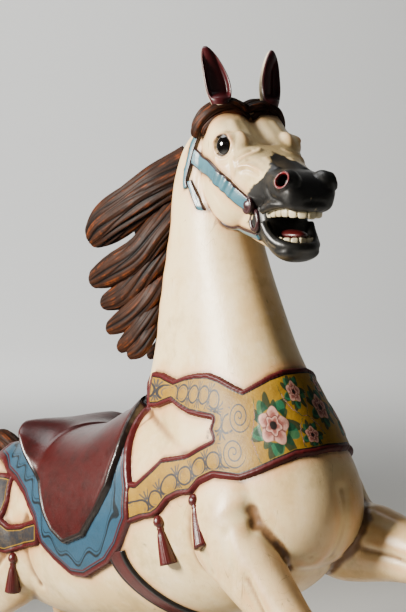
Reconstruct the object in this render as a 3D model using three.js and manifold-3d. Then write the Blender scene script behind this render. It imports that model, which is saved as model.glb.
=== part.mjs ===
// Carved and painted carousel horse, rearing on its hind hooves on a low moulded base.
// Millimetres, +Z up. The horse faces +X and its right side is -Y. The origin is the middle of the base's underside.
import * as THREE from "three";
import { mergeVertices } from "three/addons/utils/BufferGeometryUtils.js";
import Module from "manifold-3d";

// ---- Driving dimensions ----
const BASE = {
  length: 900,
  width: 400,
  corner: 70,
  profile: [[0, 0], [24, 0], [30, 6], [30, 12], [38, 18], [48, 21], [48, 17], [55, 15], [60, 20]],
};
const GAP = 0.3; // between pieces that touch
// How far each layer of relief is rooted in the body: no two layers share a depth.
const ROOT = { blanket: 6, band: 9, saddle: 12, upperArm: 14, lowerArm: 16, girth: 20 };
const EYE = { radius: 20, centre: [46, 56, -81] }; // from the head's pivot
const STRAP_LIFT = 4;
const TRUNK_AXIS = { z: 555, slope: THREE.MathUtils.degToRad(12.5) };
const HEAD_PIVOT = [262, 0, 1302]; // top of the poll, between the ears
const HEAD_TURN = THREE.MathUtils.degToRad(-14); // the head looks a little to the horse's right

// A station of a form is [front or top edge x, z, back or bottom edge x, z, half width, side offset y].
const TRUNK = [
  [-487, 548, -480, 524, 20, 0],
  [-474, 584, -445, 446, 82, 0],
  [-440, 612, -390, 380, 120, 0],
  [-370, 650, -310, 342, 142, 0],
  [-280, 674, -220, 331, 149, 0],
  [-180, 690, -110, 338, 153, 0],
  [-80, 712, 0, 356, 153, 0],
  [15, 752, 110, 380, 147, 0],
  [110, 790, 220, 414, 140, 0],
  [220, 800, 325, 456, 132, 0],
  [320, 785, 400, 500, 120, 0],
  [390, 740, 440, 552, 98, 0],
  [430, 690, 456, 610, 50, 0],
];
const NECK = [
  [400, 526, 230, 512, 50, 0],
  [462, 556, 170, 540, 96, 0],
  [492, 600, 130, 590, 116, 0],
  [500, 644, 120, 640, 122, 0],
  [486, 691, 110, 691, 122, 0],
  [454, 746, 72, 746, 114, 0],
  [420, 798, 44, 798, 104, 0],
  [366, 878, 54, 866, 88, 0],
  [323, 963, 64, 955, 77, 0],
  [285, 1045, 82, 1035, 70, 0],
  [264, 1110, 96, 1110, 65, 0],
  [256, 1165, 108, 1175, 61, 0],
  [262, 1215, 138, 1235, 55, 0],
  [264, 1256, 190, 1274, 38, 0],
];
// The head's stations are measured from the pivot, before the head is turned.
const SKULL = [
  [-52, -36, -60, -84, 32, 0],
  [-34, -8, -66, -134, 56, 0],
  [0, -10, -50, -184, 68, 0],
  [26, -36, -8, -210, 74, 0],
  [54, -58, 30, -218, 75, 0],
  [86, -84, 66, -212, 64, 0],
  [120, -106, 98, -198, 52, 0],
  [155, -120, 134, -189, 47, 0],
  [186, -128, 168, -187, 49, 0],
  [210, -139, 194, -189, 47, 0],
  [223, -155, 212, -192, 39, 0],
  [230, -168, 223, -187, 22, 0],
];
const JAW = [
  [20, -140, 30, -222, 50, 0],
  [70, -150, 66, -237, 47, 0],
  [112, -160, 98, -247, 44, 0],
  [138, -178, 124, -255, 41, 0],
  [152, -222, 144, -263, 38, 0],
  [174, -237, 168, -270, 37, 0],
  [193, -243, 188, -266, 30, 0],
  [201, -250, 198, -258, 13, 0],
];

const FORELEG_RIGHT = [
  [360, 752, 262, 742, 20, 44],
  [392, 706, 240, 690, 52, 66],
  [400, 668, 256, 612, 60, 86],
  [400, 640, 282, 545, 56, 98],
  [437, 590, 358, 500, 46, 104],
  [497, 525, 438, 456, 36, 106],
  [545, 480, 492, 416, 33, 106],
  [556, 448, 496, 398, 32, 106],
  [546, 400, 500, 372, 25, 106],
  [522, 330, 478, 316, 21, 106],
  [500, 272, 456, 262, 21, 106],
  [492, 242, 440, 240, 25, 106],
  [470, 212, 424, 226, 22, 106],
];
const FORELEG_LEFT = [
  [360, 752, 262, 742, 20, -44],
  [404, 706, 240, 680, 52, -66],
  [420, 684, 272, 590, 60, -86],
  [440, 640, 330, 522, 58, -98],
  [480, 634, 400, 498, 52, -102],
  [545, 618, 520, 518, 42, -104],
  [618, 600, 604, 522, 35, -104],
  [664, 588, 630, 516, 33, -104],
  [672, 552, 618, 520, 29, -104],
  [650, 486, 606, 480, 22, -104],
  [630, 420, 586, 416, 21, -104],
  [622, 384, 568, 392, 25, -104],
  [590, 352, 552, 376, 22, -104],
];
const HIND_LEG = [
  [-310, 652, -400, 640, 22, 46],
  [-270, 626, -440, 606, 52, 64],
  [-205, 560, -474, 570, 66, 80],
  [-176, 480, -480, 505, 70, 92],
  [-186, 415, -468, 444, 60, 100],
  [-246, 364, -458, 390, 44, 102],
  [-330, 316, -464, 346, 31, 102],
  [-398, 282, -476, 312, 27, 102],
  [-404, 246, -456, 262, 25, 102],
  [-390, 196, -434, 204, 20, 102],
  [-374, 150, -418, 152, 20, 102],
  [-352, 122, -408, 116, 25, 102],
  [-330, 98, -388, 92, 24, 102],
];

// Half width and half thickness of an ear at shares of its length.
const EAR = [[0, 17, 15], [0.25, 21, 16], [0.5, 19, 13], [0.75, 13, 9], [1, 3, 3]];
const TEETH = {
  count: 5,
  width: 11,
  height: 13,
  spread: 1.15,
  upper: { x: 218, deep: 40, half: 36, z: -184 },
  lower: { x: 190, deep: 36, half: 28, z: -252 },
};

// Straps of the bridle, from the head's pivot, on its left side.
const CHEEKPIECE = [[-40, 48, -26], [-50, 69, -77], [-60, 78, -120], [-58, 79, -142]];
const NOSE_STRAP = [[-53, 74, -96], [15, 75, -117], [55, 72, -139], [80, 60, -160], [100, 50, -177]];
const JAW_STRAP = [[-57, 77, -136], [-40, 72, -168], [-15, 60, -205], [20, 48, -228], [70, 45, -236], [118, 40, -238]];
const HEAD_MIDDLE = -150;

// Hems and bands are [place along, angle from the ridge] or [angle from ahead, height].
const BLANKET_HEM = [
  [-345, 34], [-308, 40], [-279, 48], [-236, 55], [-192, 66], [-157, 82], [-137, 100], [-101, 111],
  [-61, 121], [-19, 123], [56, 116], [95, 106], [118, 96], [134, 84],
];
const SADDLE_HEM = [
  [-238, 27], [-187, 46], [-135, 60], [-106, 81], [-83, 92], [-48, 101], [12, 97], [60, 82], [96, 66],
  [112, 50], [120, 34],
];
const WITHERS_NOTCH = 30; // how far the front edge stays back where the neck rises
const GIRTH = { from: 108, back: 80, lean: 110, width: 46, lift: 6 };
const COLLAR = {
  x: 255,
  ahead: 0,
  top: [
    [0, 859], [11, 858], [22, 850], [32, 838], [41, 827], [49, 833], [64, 844], [78, 849], [94, 847],
    [110, 841], [122, 832], [139, 839], [153, 838], [165, 838],
  ],
  windowTop: [[66, 775], [95, 777], [114, 786], [125, 793], [144, 776], [165, 770]],
  windowBottom: [[66, 750], [77, 732], [92, 715], [103, 709], [116, 702], [122, 683], [131, 653], [165, 640]],
  bottom: [
    [0, 733], [16, 728], [25, 715], [34, 700], [42, 689], [60, 687], [72, 672], [80, 653], [92, 647],
    [102, 635], [110, 612], [116, 601], [124, 594], [131, 582], [165, 560],
  ],
  window: 66,
  end: 150,
  lift: 8,
};
const RUMP_BAND = {
  x: -250,
  ahead: 180,
  top: [[0, 592], [30, 600], [60, 604], [79, 606]],
  bottom: [[0, 486], [22, 478], [40, 488], [58, 472], [79, 461], [90, 460], [104, 470], [124, 494]],
  windowBottom: [[79, 522], [90, 514], [104, 524], [124, 546]],
  window: 79,
  end: 122,
  lift: 8,
};
const TASSELS = [
  [[199, 140, 604], [222, 134, 528], 15],
  [[285, 134, 652], [330, 150, 578], 15],
  [[-234, 152, 462], [-240, 150, 388], 15],
];

// Mane locks on the right side of the crest: route and radius.
const MANE = [
  [[[128, -4, 1196], [81, -45, 1160], [32, -66, 1126], [-30, -78, 1092], [-74, -84, 1064]], 44],
  [[[126, -14, 1140], [98, -52, 1086], [61, -70, 1042], [-6, -78, 1012], [-78, -80, 988]], 34],
  [[[114, -20, 1086], [85, -58, 1026], [25, -70, 974], [-52, -74, 946]], 27],
  [[[102, -26, 1030], [79, -60, 970], [30, -72, 928], [-32, -76, 900]], 24],
  [[[92, -30, 980], [75, -64, 928], [45, -72, 894], [2, -76, 868]], 21],
  [[[84, -34, 940], [80, -66, 900], [64, -72, 876], [32, -76, 858]], 18],
];
const TAIL = [
  [[[-462, 0, 606], [-520, -4, 622], [-566, -10, 560], [-578, -14, 450], [-560, -10, 330], [-588, -6, 214]], 34],
  [[[-462, 6, 596], [-512, 16, 606], [-548, 22, 536], [-556, 22, 420], [-540, 18, 320], [-560, 20, 236]], 28],
];

// Hooves: the coronet, then the sole.
const HOOF_HIND = [
  [-326, 104, -390, 96, 26, 102],
  [-300, 60.3, -384, 60.3, 36, 102],
];
const HOOF_RIGHT = [
  [474, 218, 422, 240, 25, 106],
  [448, 164, 376, 196, 34, 106],
];
const HOOF_LEFT = [
  [592, 362, 548, 392, 25, -104],
  [566, 306, 500, 348, 34, -104],
];

// ---- Solids ----
const wasm = await Module();
wasm.setup();

// A closed indexed geometry, or one that mergeVertices can close, as a solid that faces out.
function solid(geometry) {
  const bare = geometry.clone();
  for (const name of Object.keys(bare.attributes)) if (name !== "position") bare.deleteAttribute(name);
  const merged = mergeVertices(bare, 1e-3);
  const vertProperties = new Float32Array(merged.attributes.position.array);
  const triVerts = new Uint32Array(merged.index.array);
  const make = () => new wasm.Manifold(new wasm.Mesh({ numProp: 3, vertProperties, triVerts }));
  if (signedVolume(vertProperties, triVerts) < 0)
    for (let i = 0; i < triVerts.length; i += 3)
      [triVerts[i + 1], triVerts[i + 2]] = [triVerts[i + 2], triVerts[i + 1]];
  return make();
}

function signedVolume(points, triangles) {
  const corner = (i) => new THREE.Vector3().fromArray(points, 3 * triangles[i]);
  let sixfold = 0;
  for (let i = 0; i < triangles.length; i += 3)
    sixfold += corner(i).dot(corner(i + 1).cross(corner(i + 2)));
  return sixfold / 6;
}

function geometryOf(manifold) {
  const mesh = manifold.getMesh();
  const geometry = new THREE.BufferGeometry();
  const points = new Float32Array(mesh.numVert * 3);
  for (let i = 0; i < mesh.numVert; i++)
    points.set(mesh.vertProperties.subarray(i * mesh.numProp, i * mesh.numProp + 3), 3 * i);
  geometry.setAttribute("position", new THREE.BufferAttribute(points, 3));
  geometry.setIndex(new THREE.BufferAttribute(mesh.triVerts, 1));
  return geometry;
}

const signedPower = (v, power) => Math.sign(v) * Math.abs(v) ** power;

// Skins rings of points, closes both ends with a fan, and gives one closed geometry.
function skin(rings) {
  const sides = rings[0].length;
  const points = rings.flat();
  const triangles = [];
  for (let i = 0; i + 1 < rings.length; i++)
    for (let j = 0; j < sides; j++) {
      const [a, b] = [i * sides + j, i * sides + ((j + 1) % sides)];
      triangles.push(a, b, b + sides, a, b + sides, a + sides);
    }
  for (const [ring, first] of [[rings[0], 0], [rings.at(-1), (rings.length - 1) * sides]]) {
    const centre = ring.reduce((sum, p) => sum.add(p), new THREE.Vector3()).divideScalar(sides);
    points.push(centre);
    for (let j = 0; j < sides; j++) {
      const [a, b] = [first + j, first + ((j + 1) % sides)];
      if (first === 0) triangles.push(b, a, points.length - 1);
      else triangles.push(a, b, points.length - 1);
    }
  }
  return new THREE.BufferGeometry().setFromPoints(points).setIndex(triangles);
}

// A form whose side outline runs through the stations' two edges, with rounded sections between them.
function form(stations, { sides = 20, steps = 1, roundness = 2.2, side = 1, lean = 0 } = {}) {
  const spline = (pick) => new THREE.CatmullRomCurve3(stations.map(pick), false, "catmullrom", 0.5);
  const front = spline((s) => new THREE.Vector3(s[0], s[5] * side, s[1]));
  const back = spline((s) => new THREE.Vector3(s[2], s[5] * side, s[3]));
  const girth = spline((s) => new THREE.Vector3(s[4], 0, 0));
  const count = (stations.length - 1) * steps;
  const rings = [];
  for (let i = 0; i <= count; i++) {
    const [a, b] = [front.getPoint(i / count), back.getPoint(i / count)];
    const middle = a.clone().add(b).divideScalar(2);
    const half = a.clone().sub(middle);
    const width = girth.getPoint(i / count).x;
    rings.push(
      Array.from({ length: sides }, (_, j) => {
        const angle = (2 * Math.PI * j) / sides;
        const p = middle.clone().addScaledVector(half, signedPower(Math.cos(angle), 2 / roundness));
        p.y += width * (1 + lean * Math.cos(angle)) * signedPower(Math.sin(angle), 2 / roundness);
        return p;
      }),
    );
  }
  return solid(skin(rings));
}

function ball(centre, radii, detail = 14) {
  const g = new THREE.SphereGeometry(1, detail, Math.round(detail * 0.7));
  return solid(g.scale(...radii).translate(...centre));
}

const union = (parts) => parts.reduce((whole, part) => whole.add(part));

// A lock of hair or a cord: a flattened round section that thins out along a curve.
function lock(points, radius, { flat = 0.6, tip = 0.4, sides = 6, steps = 5 } = {}) {
  const curve = new THREE.CatmullRomCurve3(points.map((p) => new THREE.Vector3(...p)), false, "catmullrom", 0.5);
  const rings = [];
  for (let i = 0; i <= steps; i++) {
    const t = i / steps;
    const along = curve.getTangent(t);
    const across = new THREE.Vector3(0, 1, 0).addScaledVector(along, -along.y).normalize();
    const over = along.clone().cross(across);
    const size = radius * (0.75 + 0.25 * Math.sin(Math.PI * Math.min(1, 1.6 * t))) * (t < 0.6 ? 1 : fade(t, tip));
    rings.push(
      Array.from({ length: sides }, (_, j) => {
        const angle = (2 * Math.PI * j) / sides;
        return curve
          .getPoint(t)
          .addScaledVector(across, size * flat * Math.cos(angle))
          .addScaledVector(over, size * Math.sin(angle));
      }),
    );
  }
  return solid(skin(rings));
}

const fade = (t, tip) => 1 - (1 - tip) * ((t - 0.6) / 0.4) ** 2;

// ---- Drapes: cloth and straps carved in low relief on the body ----
// Finds where a ray from inside the body comes out.
function probeOf(manifold) {
  const { position } = geometryOf(manifold).toNonIndexed().attributes;
  const faces = Array.from({ length: position.count / 3 }, (_, i) =>
    [0, 1, 2].map((k) => new THREE.Vector3().fromBufferAttribute(position, 3 * i + k)),
  );
  return (from, towards) => {
    const ray = new THREE.Ray(from, towards.clone().normalize());
    let nearest = null;
    for (const [a, b, c] of faces) {
      const hit = ray.intersectTriangle(a, b, c, false, new THREE.Vector3());
      if (hit && (!nearest || hit.distanceTo(from) < nearest.distanceTo(from))) nearest = hit;
    }
    return nearest ?? from.clone();
  };
}

// A closed sheet over a grid of rays [from, towards], raised by lift(row, column) and rooted in the body.
function drape(probe, rays, lift, root) {
  const surface = rays.map((row) => row.map(([from, towards]) => probe(from, towards)));
  const [rows, columns] = [rays.length, rays[0].length];
  const at = (i, j) => surface[Math.min(Math.max(i, 0), rows - 1)][Math.min(Math.max(j, 0), columns - 1)];
  const normal = (i, j) => {
    const down = at(i + 1, j).clone().sub(at(i - 1, j));
    const n = at(i, j + 1).clone().sub(at(i, j - 1)).cross(down).normalize();
    return n.dot(rays[i][j][1]) < 0 ? n.negate() : n;
  };
  const points = [];
  for (const outer of [true, false])
    for (let i = 0; i < rows; i++)
      for (let j = 0; j < columns; j++)
        points.push(at(i, j).clone().addScaledVector(normal(i, j), outer ? lift(i, j) : -root));
  const triangles = [];
  const quad = (a, b, c, d) => triangles.push(a, b, c, a, c, d);
  const under = rows * columns;
  for (let i = 0; i + 1 < rows; i++)
    for (let j = 0; j + 1 < columns; j++) {
      const a = i * columns + j;
      quad(a, a + 1, a + 1 + columns, a + columns);
      quad(a + under, a + under + columns, a + under + columns + 1, a + under + 1);
    }
  const edge = (a, b) => quad(b, a, a + under, b + under);
  for (let j = 0; j + 1 < columns; j++) {
    edge(j, j + 1);
    edge((rows - 1) * columns + j + 1, (rows - 1) * columns + j);
  }
  for (let i = 0; i + 1 < rows; i++) {
    edge((i + 1) * columns, i * columns);
    edge(i * columns + columns - 1, (i + 1) * columns + columns - 1);
  }
  return solid(new THREE.BufferGeometry().setFromPoints(points).setIndex(triangles));
}

const grid = (rows, columns, cell) =>
  Array.from({ length: rows + 1 }, (_, i) => Array.from({ length: columns + 1 }, (_, j) => cell(i / rows, j / columns)));

// A table of [place, value] pairs read at any place.
function read(table, place) {
  const next = table.findIndex(([x]) => x >= place);
  if (next <= 0) return table.at(next)[1];
  const [[x0, y0], [x1, y1]] = [table[next - 1], table[next]];
  return THREE.MathUtils.lerp(y0, y1, (place - x0) / (x1 - x0));
}

// Around an upright line at x, at an angle from straight ahead.
function aroundUpright(x, degrees, z) {
  const angle = THREE.MathUtils.degToRad(degrees);
  return [new THREE.Vector3(x, 0, z), new THREE.Vector3(Math.cos(angle), Math.sin(angle), 0)];
}

// Around the trunk's own sloping axis, at an angle from the ridge down to the horse's right.
function aroundTrunk(s, degrees) {
  const angle = THREE.MathUtils.degToRad(degrees);
  const [c, n] = [Math.cos(TRUNK_AXIS.slope), Math.sin(TRUNK_AXIS.slope)];
  const from = new THREE.Vector3(s * c, 0, TRUNK_AXIS.z + s * n);
  return [from, new THREE.Vector3(-n * Math.cos(angle), -Math.sin(angle), c * Math.cos(angle))];
}

const mix = THREE.MathUtils.lerp;

// The breast collar, or the band round the rump: one full-height front and two arms on each side.
function harness(probe, { x, ahead, top, bottom, windowTop, windowBottom, window, end, lift }) {
  const strip = (from, to, columns, rows, low, high, root) =>
    drape(probe, grid(rows, columns, (v, u) => {
      const angle = mix(from, to, u);
      return aroundUpright(x, ahead + angle, mix(read(low, Math.abs(angle)), read(high, Math.abs(angle)), v));
    }), () => lift, root);
  const strips = [strip(-window - 2, window + 2, 16, 1, bottom, top, ROOT.band)];
  for (const side of [-1, 1]) {
    if (windowTop) strips.push(strip(side * window, side * end, 6, 1, windowTop, top, ROOT.upperArm));
    strips.push(strip(side * window, side * end, 6, 1, bottom, windowBottom, ROOT.lowerArm));
  }
  return union(strips);
}

// Blanket or saddle: hung over the back as far down as its hem.
function overBack(probe, hem, columns, rows, lift, root) {
  const [first, last] = [hem[0][0], hem.at(-1)[0]];
  const place = (u, v) => {
    const side = 2 * v - 1;
    const front = last - WITHERS_NOTCH * (1 - Math.abs(side)) ** 2;
    return [mix(first, front, u), side * read(hem, mix(first, last, u))];
  };
  return drape(
    probe,
    grid(rows, columns, (v, u) => aroundTrunk(...place(u, v))),
    (i, j) => lift(...place(j / columns, i / rows)),
    root,
  );
}

function girth(probe) {
  return drape(probe, grid(10, 1, (v, u) => {
    const angle = mix(GIRTH.from, 360 - GIRTH.from, v);
    const down = THREE.MathUtils.smoothstep(180 - Math.abs(angle - 180), GIRTH.from, 180);
    return aroundTrunk(GIRTH.back + GIRTH.lean * down + (u - 0.5) * GIRTH.width, angle);
  }), () => GIRTH.lift, ROOT.girth);
}

function tassel([x, y, z], [x2, y2, z2], radius) {
  const ring = (t, r) => [mix(x, x2, t) + r, mix(z, z2, t), mix(x, x2, t) - r, mix(z, z2, t), r, mix(y, y2, t)];
  const outline = [[0, 0.35], [0.08, 0.6], [0.16, 0.6], [0.24, 0.35], [0.5, 0.75], [1, 1]];
  const stations = outline.map(([t, r]) => ring(t, r * radius));
  return form(stations, { sides: 6, roundness: 2 });
}

// ---- Head ----
function headLocal() {
  const pieces = [form(SKULL, { sides: 18, roundness: 3.4, lean: 0.12 }), form(JAW, { sides: 12, roundness: 2.6 })];
  for (const side of [-1, 1]) {
    pieces.push(ball([52, side * 54, -58], [34, 20, 13], 8)); // brow
    pieces.push(ball([196, side * 33, -148], [26, 17, 22], 8)); // nostril wing
    pieces.push(ear(side));
    pieces.push(lock([[-6, 0, 2], [-10, side * 30, 2], [-18, side * 62, -16], [-30, side * 72, -44]], 17, { flat: 1, steps: 4 }));
  }
  pieces.push(ball([150, 0, -232], [44, 20, 9], 8)); // tongue
  pieces.push(...teeth());
  let head = union(pieces);
  for (const side of [-1, 1]) {
    head = head.subtract(ball([206, side * 42, -146], [12, 9, 11], 6));
    head = head.subtract(ball(eyeCentre(side), Array(3).fill(EYE.radius + GAP), 10));
  }
  return head;
}

const eyeCentre = (side) => [EYE.centre[0], side * EYE.centre[1], EYE.centre[2]];

// A pricked ear, hollow towards the front.
function ear(side) {
  const [base, tip] = [new THREE.Vector3(2, side * 45, -8), new THREE.Vector3(-28, side * 60, 86)];
  const shell = (shrink, forward) =>
    solid(skin(EAR.map(([t, half, thick]) => {
      const middle = base.clone().lerp(tip, t);
      return Array.from({ length: 6 }, (_, j) => {
        const angle = (2 * Math.PI * j) / 6;
        const offset = [thick * Math.cos(angle) * shrink + forward, half * Math.sin(angle) * shrink, 0];
        return middle.clone().add(new THREE.Vector3(...offset));
      });
    })));
  return shell(1, 0).subtract(shell(0.72, 9));
}

function teeth() {
  const rows = [[TEETH.upper, -1], [TEETH.lower, 1]];
  return rows.flatMap(([row, up]) =>
    Array.from({ length: TEETH.count }, (_, i) => {
      const angle = mix(-TEETH.spread, TEETH.spread, i / (TEETH.count - 1));
      const tooth = new THREE.BoxGeometry(8, TEETH.width, TEETH.height).rotateZ(angle);
      const [x, y] = [row.x - row.deep * (1 - Math.cos(angle)), row.half * Math.sin(angle)];
      return solid(tooth.translate(x, y, row.z + (up * TEETH.height) / 2));
    }),
  );
}

// A strap over the head: its path lies near the surface and is pressed onto it from the head's middle line.
function strap(probe, path, { width, root, steps = 4 }) {
  const curve = new THREE.CatmullRomCurve3(path.map((p) => new THREE.Vector3(...p)), false, "catmullrom", 0.5);
  const rays = grid(1, steps, (v, t) => {
    const point = curve.getPoint(t);
    const centre = new THREE.Vector3(0.8 * point.x, 0, HEAD_MIDDLE);
    const towards = point.sub(centre).normalize();
    const across = curve.getTangent(t).cross(towards).normalize();
    const from = centre.clone().addScaledVector(across, (v - 0.5) * width);
    return [from.applyMatrix4(toPlace), towards.transformDirection(toPlace)];
  });
  return drape(probe, rays, () => STRAP_LIFT, root);
}

function bridle(probe) {
  const pieces = [];
  for (const side of [-1, 1]) {
    const mirrored = (path) => path.map(([x, y, z]) => [x, -side * y, z]);
    pieces.push(strap(probe, mirrored(CHEEKPIECE), { width: 13, root: 10 }));
    pieces.push(strap(probe, mirrored(NOSE_STRAP), { width: 28, root: 6 }));
    pieces.push(strap(probe, mirrored(JAW_STRAP), { width: 12, root: 14, steps: 7 }));
    const rosette = new THREE.CylinderGeometry(13, 15, 16, 12).translate(102, side * 50, -178);
    pieces.push(headToRow(solid(rosette)));
  }
  return union(pieces);
}

const toPlace = new THREE.Matrix4()
  .makeTranslation(...HEAD_PIVOT)
  .multiply(new THREE.Matrix4().makeRotationZ(HEAD_TURN));
const headToRow = (manifold) => solid(geometryOf(manifold).applyMatrix4(toPlace));

// ---- Horse ----
function body() {
  const legs = [FORELEG_RIGHT, FORELEG_LEFT].map((leg) => form(leg, { sides: 10, side: -1 }));
  legs.push(...[HOOF_RIGHT, HOOF_LEFT].map((hoof) => form(hoof, { sides: 10, side: -1 })));
  for (const side of [-1, 1]) {
    legs.push(form(HIND_LEG, { sides: 10, side }));
    legs.push(form(HOOF_HIND, { sides: 10, side }));
  }
  return union([form(TRUNK, { sides: 18 }), form(NECK, { sides: 16 }), headToRow(headLocal()), ...legs]);
}

function tack(probe) {
  const cantle = (s, degrees) => THREE.MathUtils.smoothstep(-s, 140, 235) * (16 + 36 * (degrees / 28) ** 2);
  const pieces = [
    overBack(probe, BLANKET_HEM, 13, 10, () => 10, ROOT.blanket),
    overBack(probe, SADDLE_HEM, 10, 8, (s, degrees) => 18 + cantle(s, degrees), ROOT.saddle),
    harness(probe, COLLAR),
    harness(probe, RUMP_BAND),
    girth(probe),
    bridle(probe),
  ];
  for (const side of [-1, 1])
    for (const [knot, end, radius] of TASSELS) {
      const mirrored = ([x, y, z]) => [x, side * y, z];
      pieces.push(tassel(mirrored(knot), mirrored(end), radius));
    }
  return union(pieces);
}

function mane() {
  const locks = [];
  for (const [path, radius] of MANE) {
    locks.push(lock(path, radius));
    const farSide = path.slice(0, 4).map(([x, y, z], i) => [x, y * 0.3 + 14, z - 24 + 2 * i]);
    locks.push(lock(farSide, radius * 0.8));
  }
  return union(locks);
}

// The outer shell alone: pockets closed in under the relief are solid wood.
const filled = (manifold) => manifold.decompose().sort((a, b) => b.volume() - a.volume())[0];

function horse() {
  const bare = body();
  const tail = TAIL.map(([path, radius]) => lock(path, radius, { flat: 0.8, tip: 0.35, sides: 8, steps: 10 }));
  return filled(union([bare, tack(probeOf(bare)), mane(), ...tail]));
}

const eye = (side) => headToRow(ball(eyeCentre(side), Array(3).fill(EYE.radius), 10));

// A low plinth with rounded corners and a moulded edge of [height, inset] steps.
function plinth() {
  const ring = ([z, inset]) => {
    const points = [];
    for (const [sx, sy, start] of [[1, 1, 0], [-1, 1, 90], [-1, -1, 180], [1, -1, 270]])
      for (let k = 0; k <= 4; k++) {
        const angle = THREE.MathUtils.degToRad(start + 22.5 * k);
        const radius = BASE.corner - inset;
        const x = sx * (BASE.length / 2 - BASE.corner) + radius * Math.cos(angle);
        points.push(new THREE.Vector3(x, sy * (BASE.width / 2 - BASE.corner) + radius * Math.sin(angle), z));
      }
    return points;
  };
  return solid(skin(BASE.profile.map(ring)));
}

const group = new THREE.Group();
const paint = (color, roughness, metalness = 0) => new THREE.MeshStandardMaterial({ color, roughness, metalness });
function add(name, manifold, material) {
  const mesh = new THREE.Mesh(geometryOf(manifold), material);
  mesh.name = name;
  group.add(mesh);
}
add("horse", horse(), paint("#e6d3b2", 0.4));
add("eye_right", eye(-1), paint("#0d0f12", 0.05));
add("eye_left", eye(1), paint("#0d0f12", 0.05));
add("base", plinth(), paint("#4a2019", 0.4));
export default group;
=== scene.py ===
"""Looks of a carved and painted carousel horse: old gloss oil paint over wood, glass eyes, a low plinth."""
import math

import bmesh
import bpy
import numpy as np
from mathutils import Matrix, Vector
from mathutils.bvhtree import BVHTree


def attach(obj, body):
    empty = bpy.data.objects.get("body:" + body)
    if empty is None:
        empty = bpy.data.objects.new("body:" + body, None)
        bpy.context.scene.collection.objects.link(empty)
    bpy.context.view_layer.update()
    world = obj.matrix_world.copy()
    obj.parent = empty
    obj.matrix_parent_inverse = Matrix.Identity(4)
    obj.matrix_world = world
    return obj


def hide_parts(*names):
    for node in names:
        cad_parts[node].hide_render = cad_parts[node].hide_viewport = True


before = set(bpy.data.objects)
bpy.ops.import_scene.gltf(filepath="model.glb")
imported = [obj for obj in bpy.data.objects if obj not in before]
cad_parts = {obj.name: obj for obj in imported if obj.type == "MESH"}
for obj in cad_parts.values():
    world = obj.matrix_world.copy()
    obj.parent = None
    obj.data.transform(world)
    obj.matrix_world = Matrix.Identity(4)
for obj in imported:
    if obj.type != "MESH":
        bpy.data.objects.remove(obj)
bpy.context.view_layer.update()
MM = 0.001

# ---- Driving dimensions, in millimetres: the horse faces +X and its right side is -Y ----
HEAD_PIVOT = np.array([262.0, 0.0, 1302.0])
HEAD_TURN = math.radians(-14)
TRUNK_AXIS = (555.0, math.radians(12.5))  # height over the origin, slope
# A station of a form: front or top edge x, z, back or bottom edge x, z, half width, side offset.
TRUNK = [
    (-487, 548, -480, 524, 20, 0), (-474, 584, -445, 446, 82, 0), (-440, 612, -390, 380, 120, 0),
    (-370, 650, -310, 342, 142, 0), (-280, 674, -220, 331, 149, 0), (-180, 690, -110, 338, 153, 0),
    (-80, 712, 0, 356, 153, 0), (15, 752, 110, 380, 147, 0), (110, 790, 220, 414, 140, 0),
    (220, 800, 325, 456, 132, 0), (320, 785, 400, 500, 120, 0), (390, 740, 440, 552, 98, 0),
    (430, 690, 456, 610, 50, 0)]
NECK = [
    (400, 526, 230, 512, 50, 0), (462, 556, 170, 540, 96, 0), (492, 600, 130, 590, 116, 0),
    (500, 644, 120, 640, 122, 0), (486, 691, 110, 691, 122, 0), (454, 746, 72, 746, 114, 0),
    (420, 798, 44, 798, 104, 0), (366, 878, 54, 866, 88, 0), (323, 963, 64, 955, 77, 0),
    (285, 1045, 82, 1035, 70, 0), (264, 1110, 96, 1110, 65, 0), (256, 1165, 108, 1175, 61, 0),
    (262, 1215, 138, 1235, 55, 0), (264, 1256, 190, 1274, 38, 0)]
SKULL = [
    (-52, -36, -60, -84, 32, 0), (-34, -8, -66, -134, 56, 0), (0, -10, -50, -184, 68, 0),
    (26, -36, -8, -210, 74, 0), (54, -58, 30, -218, 75, 0), (86, -84, 66, -212, 64, 0),
    (120, -106, 98, -198, 52, 0), (155, -120, 134, -189, 47, 0), (186, -128, 168, -187, 49, 0),
    (210, -139, 194, -189, 47, 0), (223, -155, 212, -192, 39, 0), (230, -168, 223, -187, 22, 0)]
JAW = [
    (20, -140, 30, -222, 50, 0), (70, -150, 66, -237, 47, 0), (112, -160, 98, -247, 44, 0),
    (138, -178, 124, -255, 41, 0), (152, -222, 144, -263, 38, 0), (174, -237, 168, -270, 37, 0),
    (193, -243, 188, -266, 30, 0), (201, -250, 198, -258, 13, 0)]
FORELEG_RIGHT = [
    (360, 752, 262, 742, 20, 44), (392, 706, 240, 690, 52, 66), (400, 668, 256, 612, 60, 86),
    (400, 640, 282, 545, 56, 98), (437, 590, 358, 500, 46, 104), (497, 525, 438, 456, 36, 106),
    (545, 480, 492, 416, 33, 106), (556, 448, 496, 398, 32, 106), (546, 400, 500, 372, 25, 106),
    (522, 330, 478, 316, 21, 106), (500, 272, 456, 262, 21, 106), (492, 242, 440, 240, 25, 106),
    (470, 212, 424, 226, 22, 106)]
FORELEG_LEFT = [
    (360, 752, 262, 742, 20, -44), (404, 706, 240, 680, 52, -66), (420, 684, 272, 590, 60, -86),
    (440, 640, 330, 522, 58, -98), (480, 634, 400, 498, 52, -102), (545, 618, 520, 518, 42, -104),
    (618, 600, 604, 522, 35, -104), (664, 588, 630, 516, 33, -104), (672, 552, 618, 520, 29, -104),
    (650, 486, 606, 480, 22, -104), (630, 420, 586, 416, 21, -104), (622, 384, 568, 392, 25, -104),
    (590, 352, 552, 376, 22, -104)]
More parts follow.
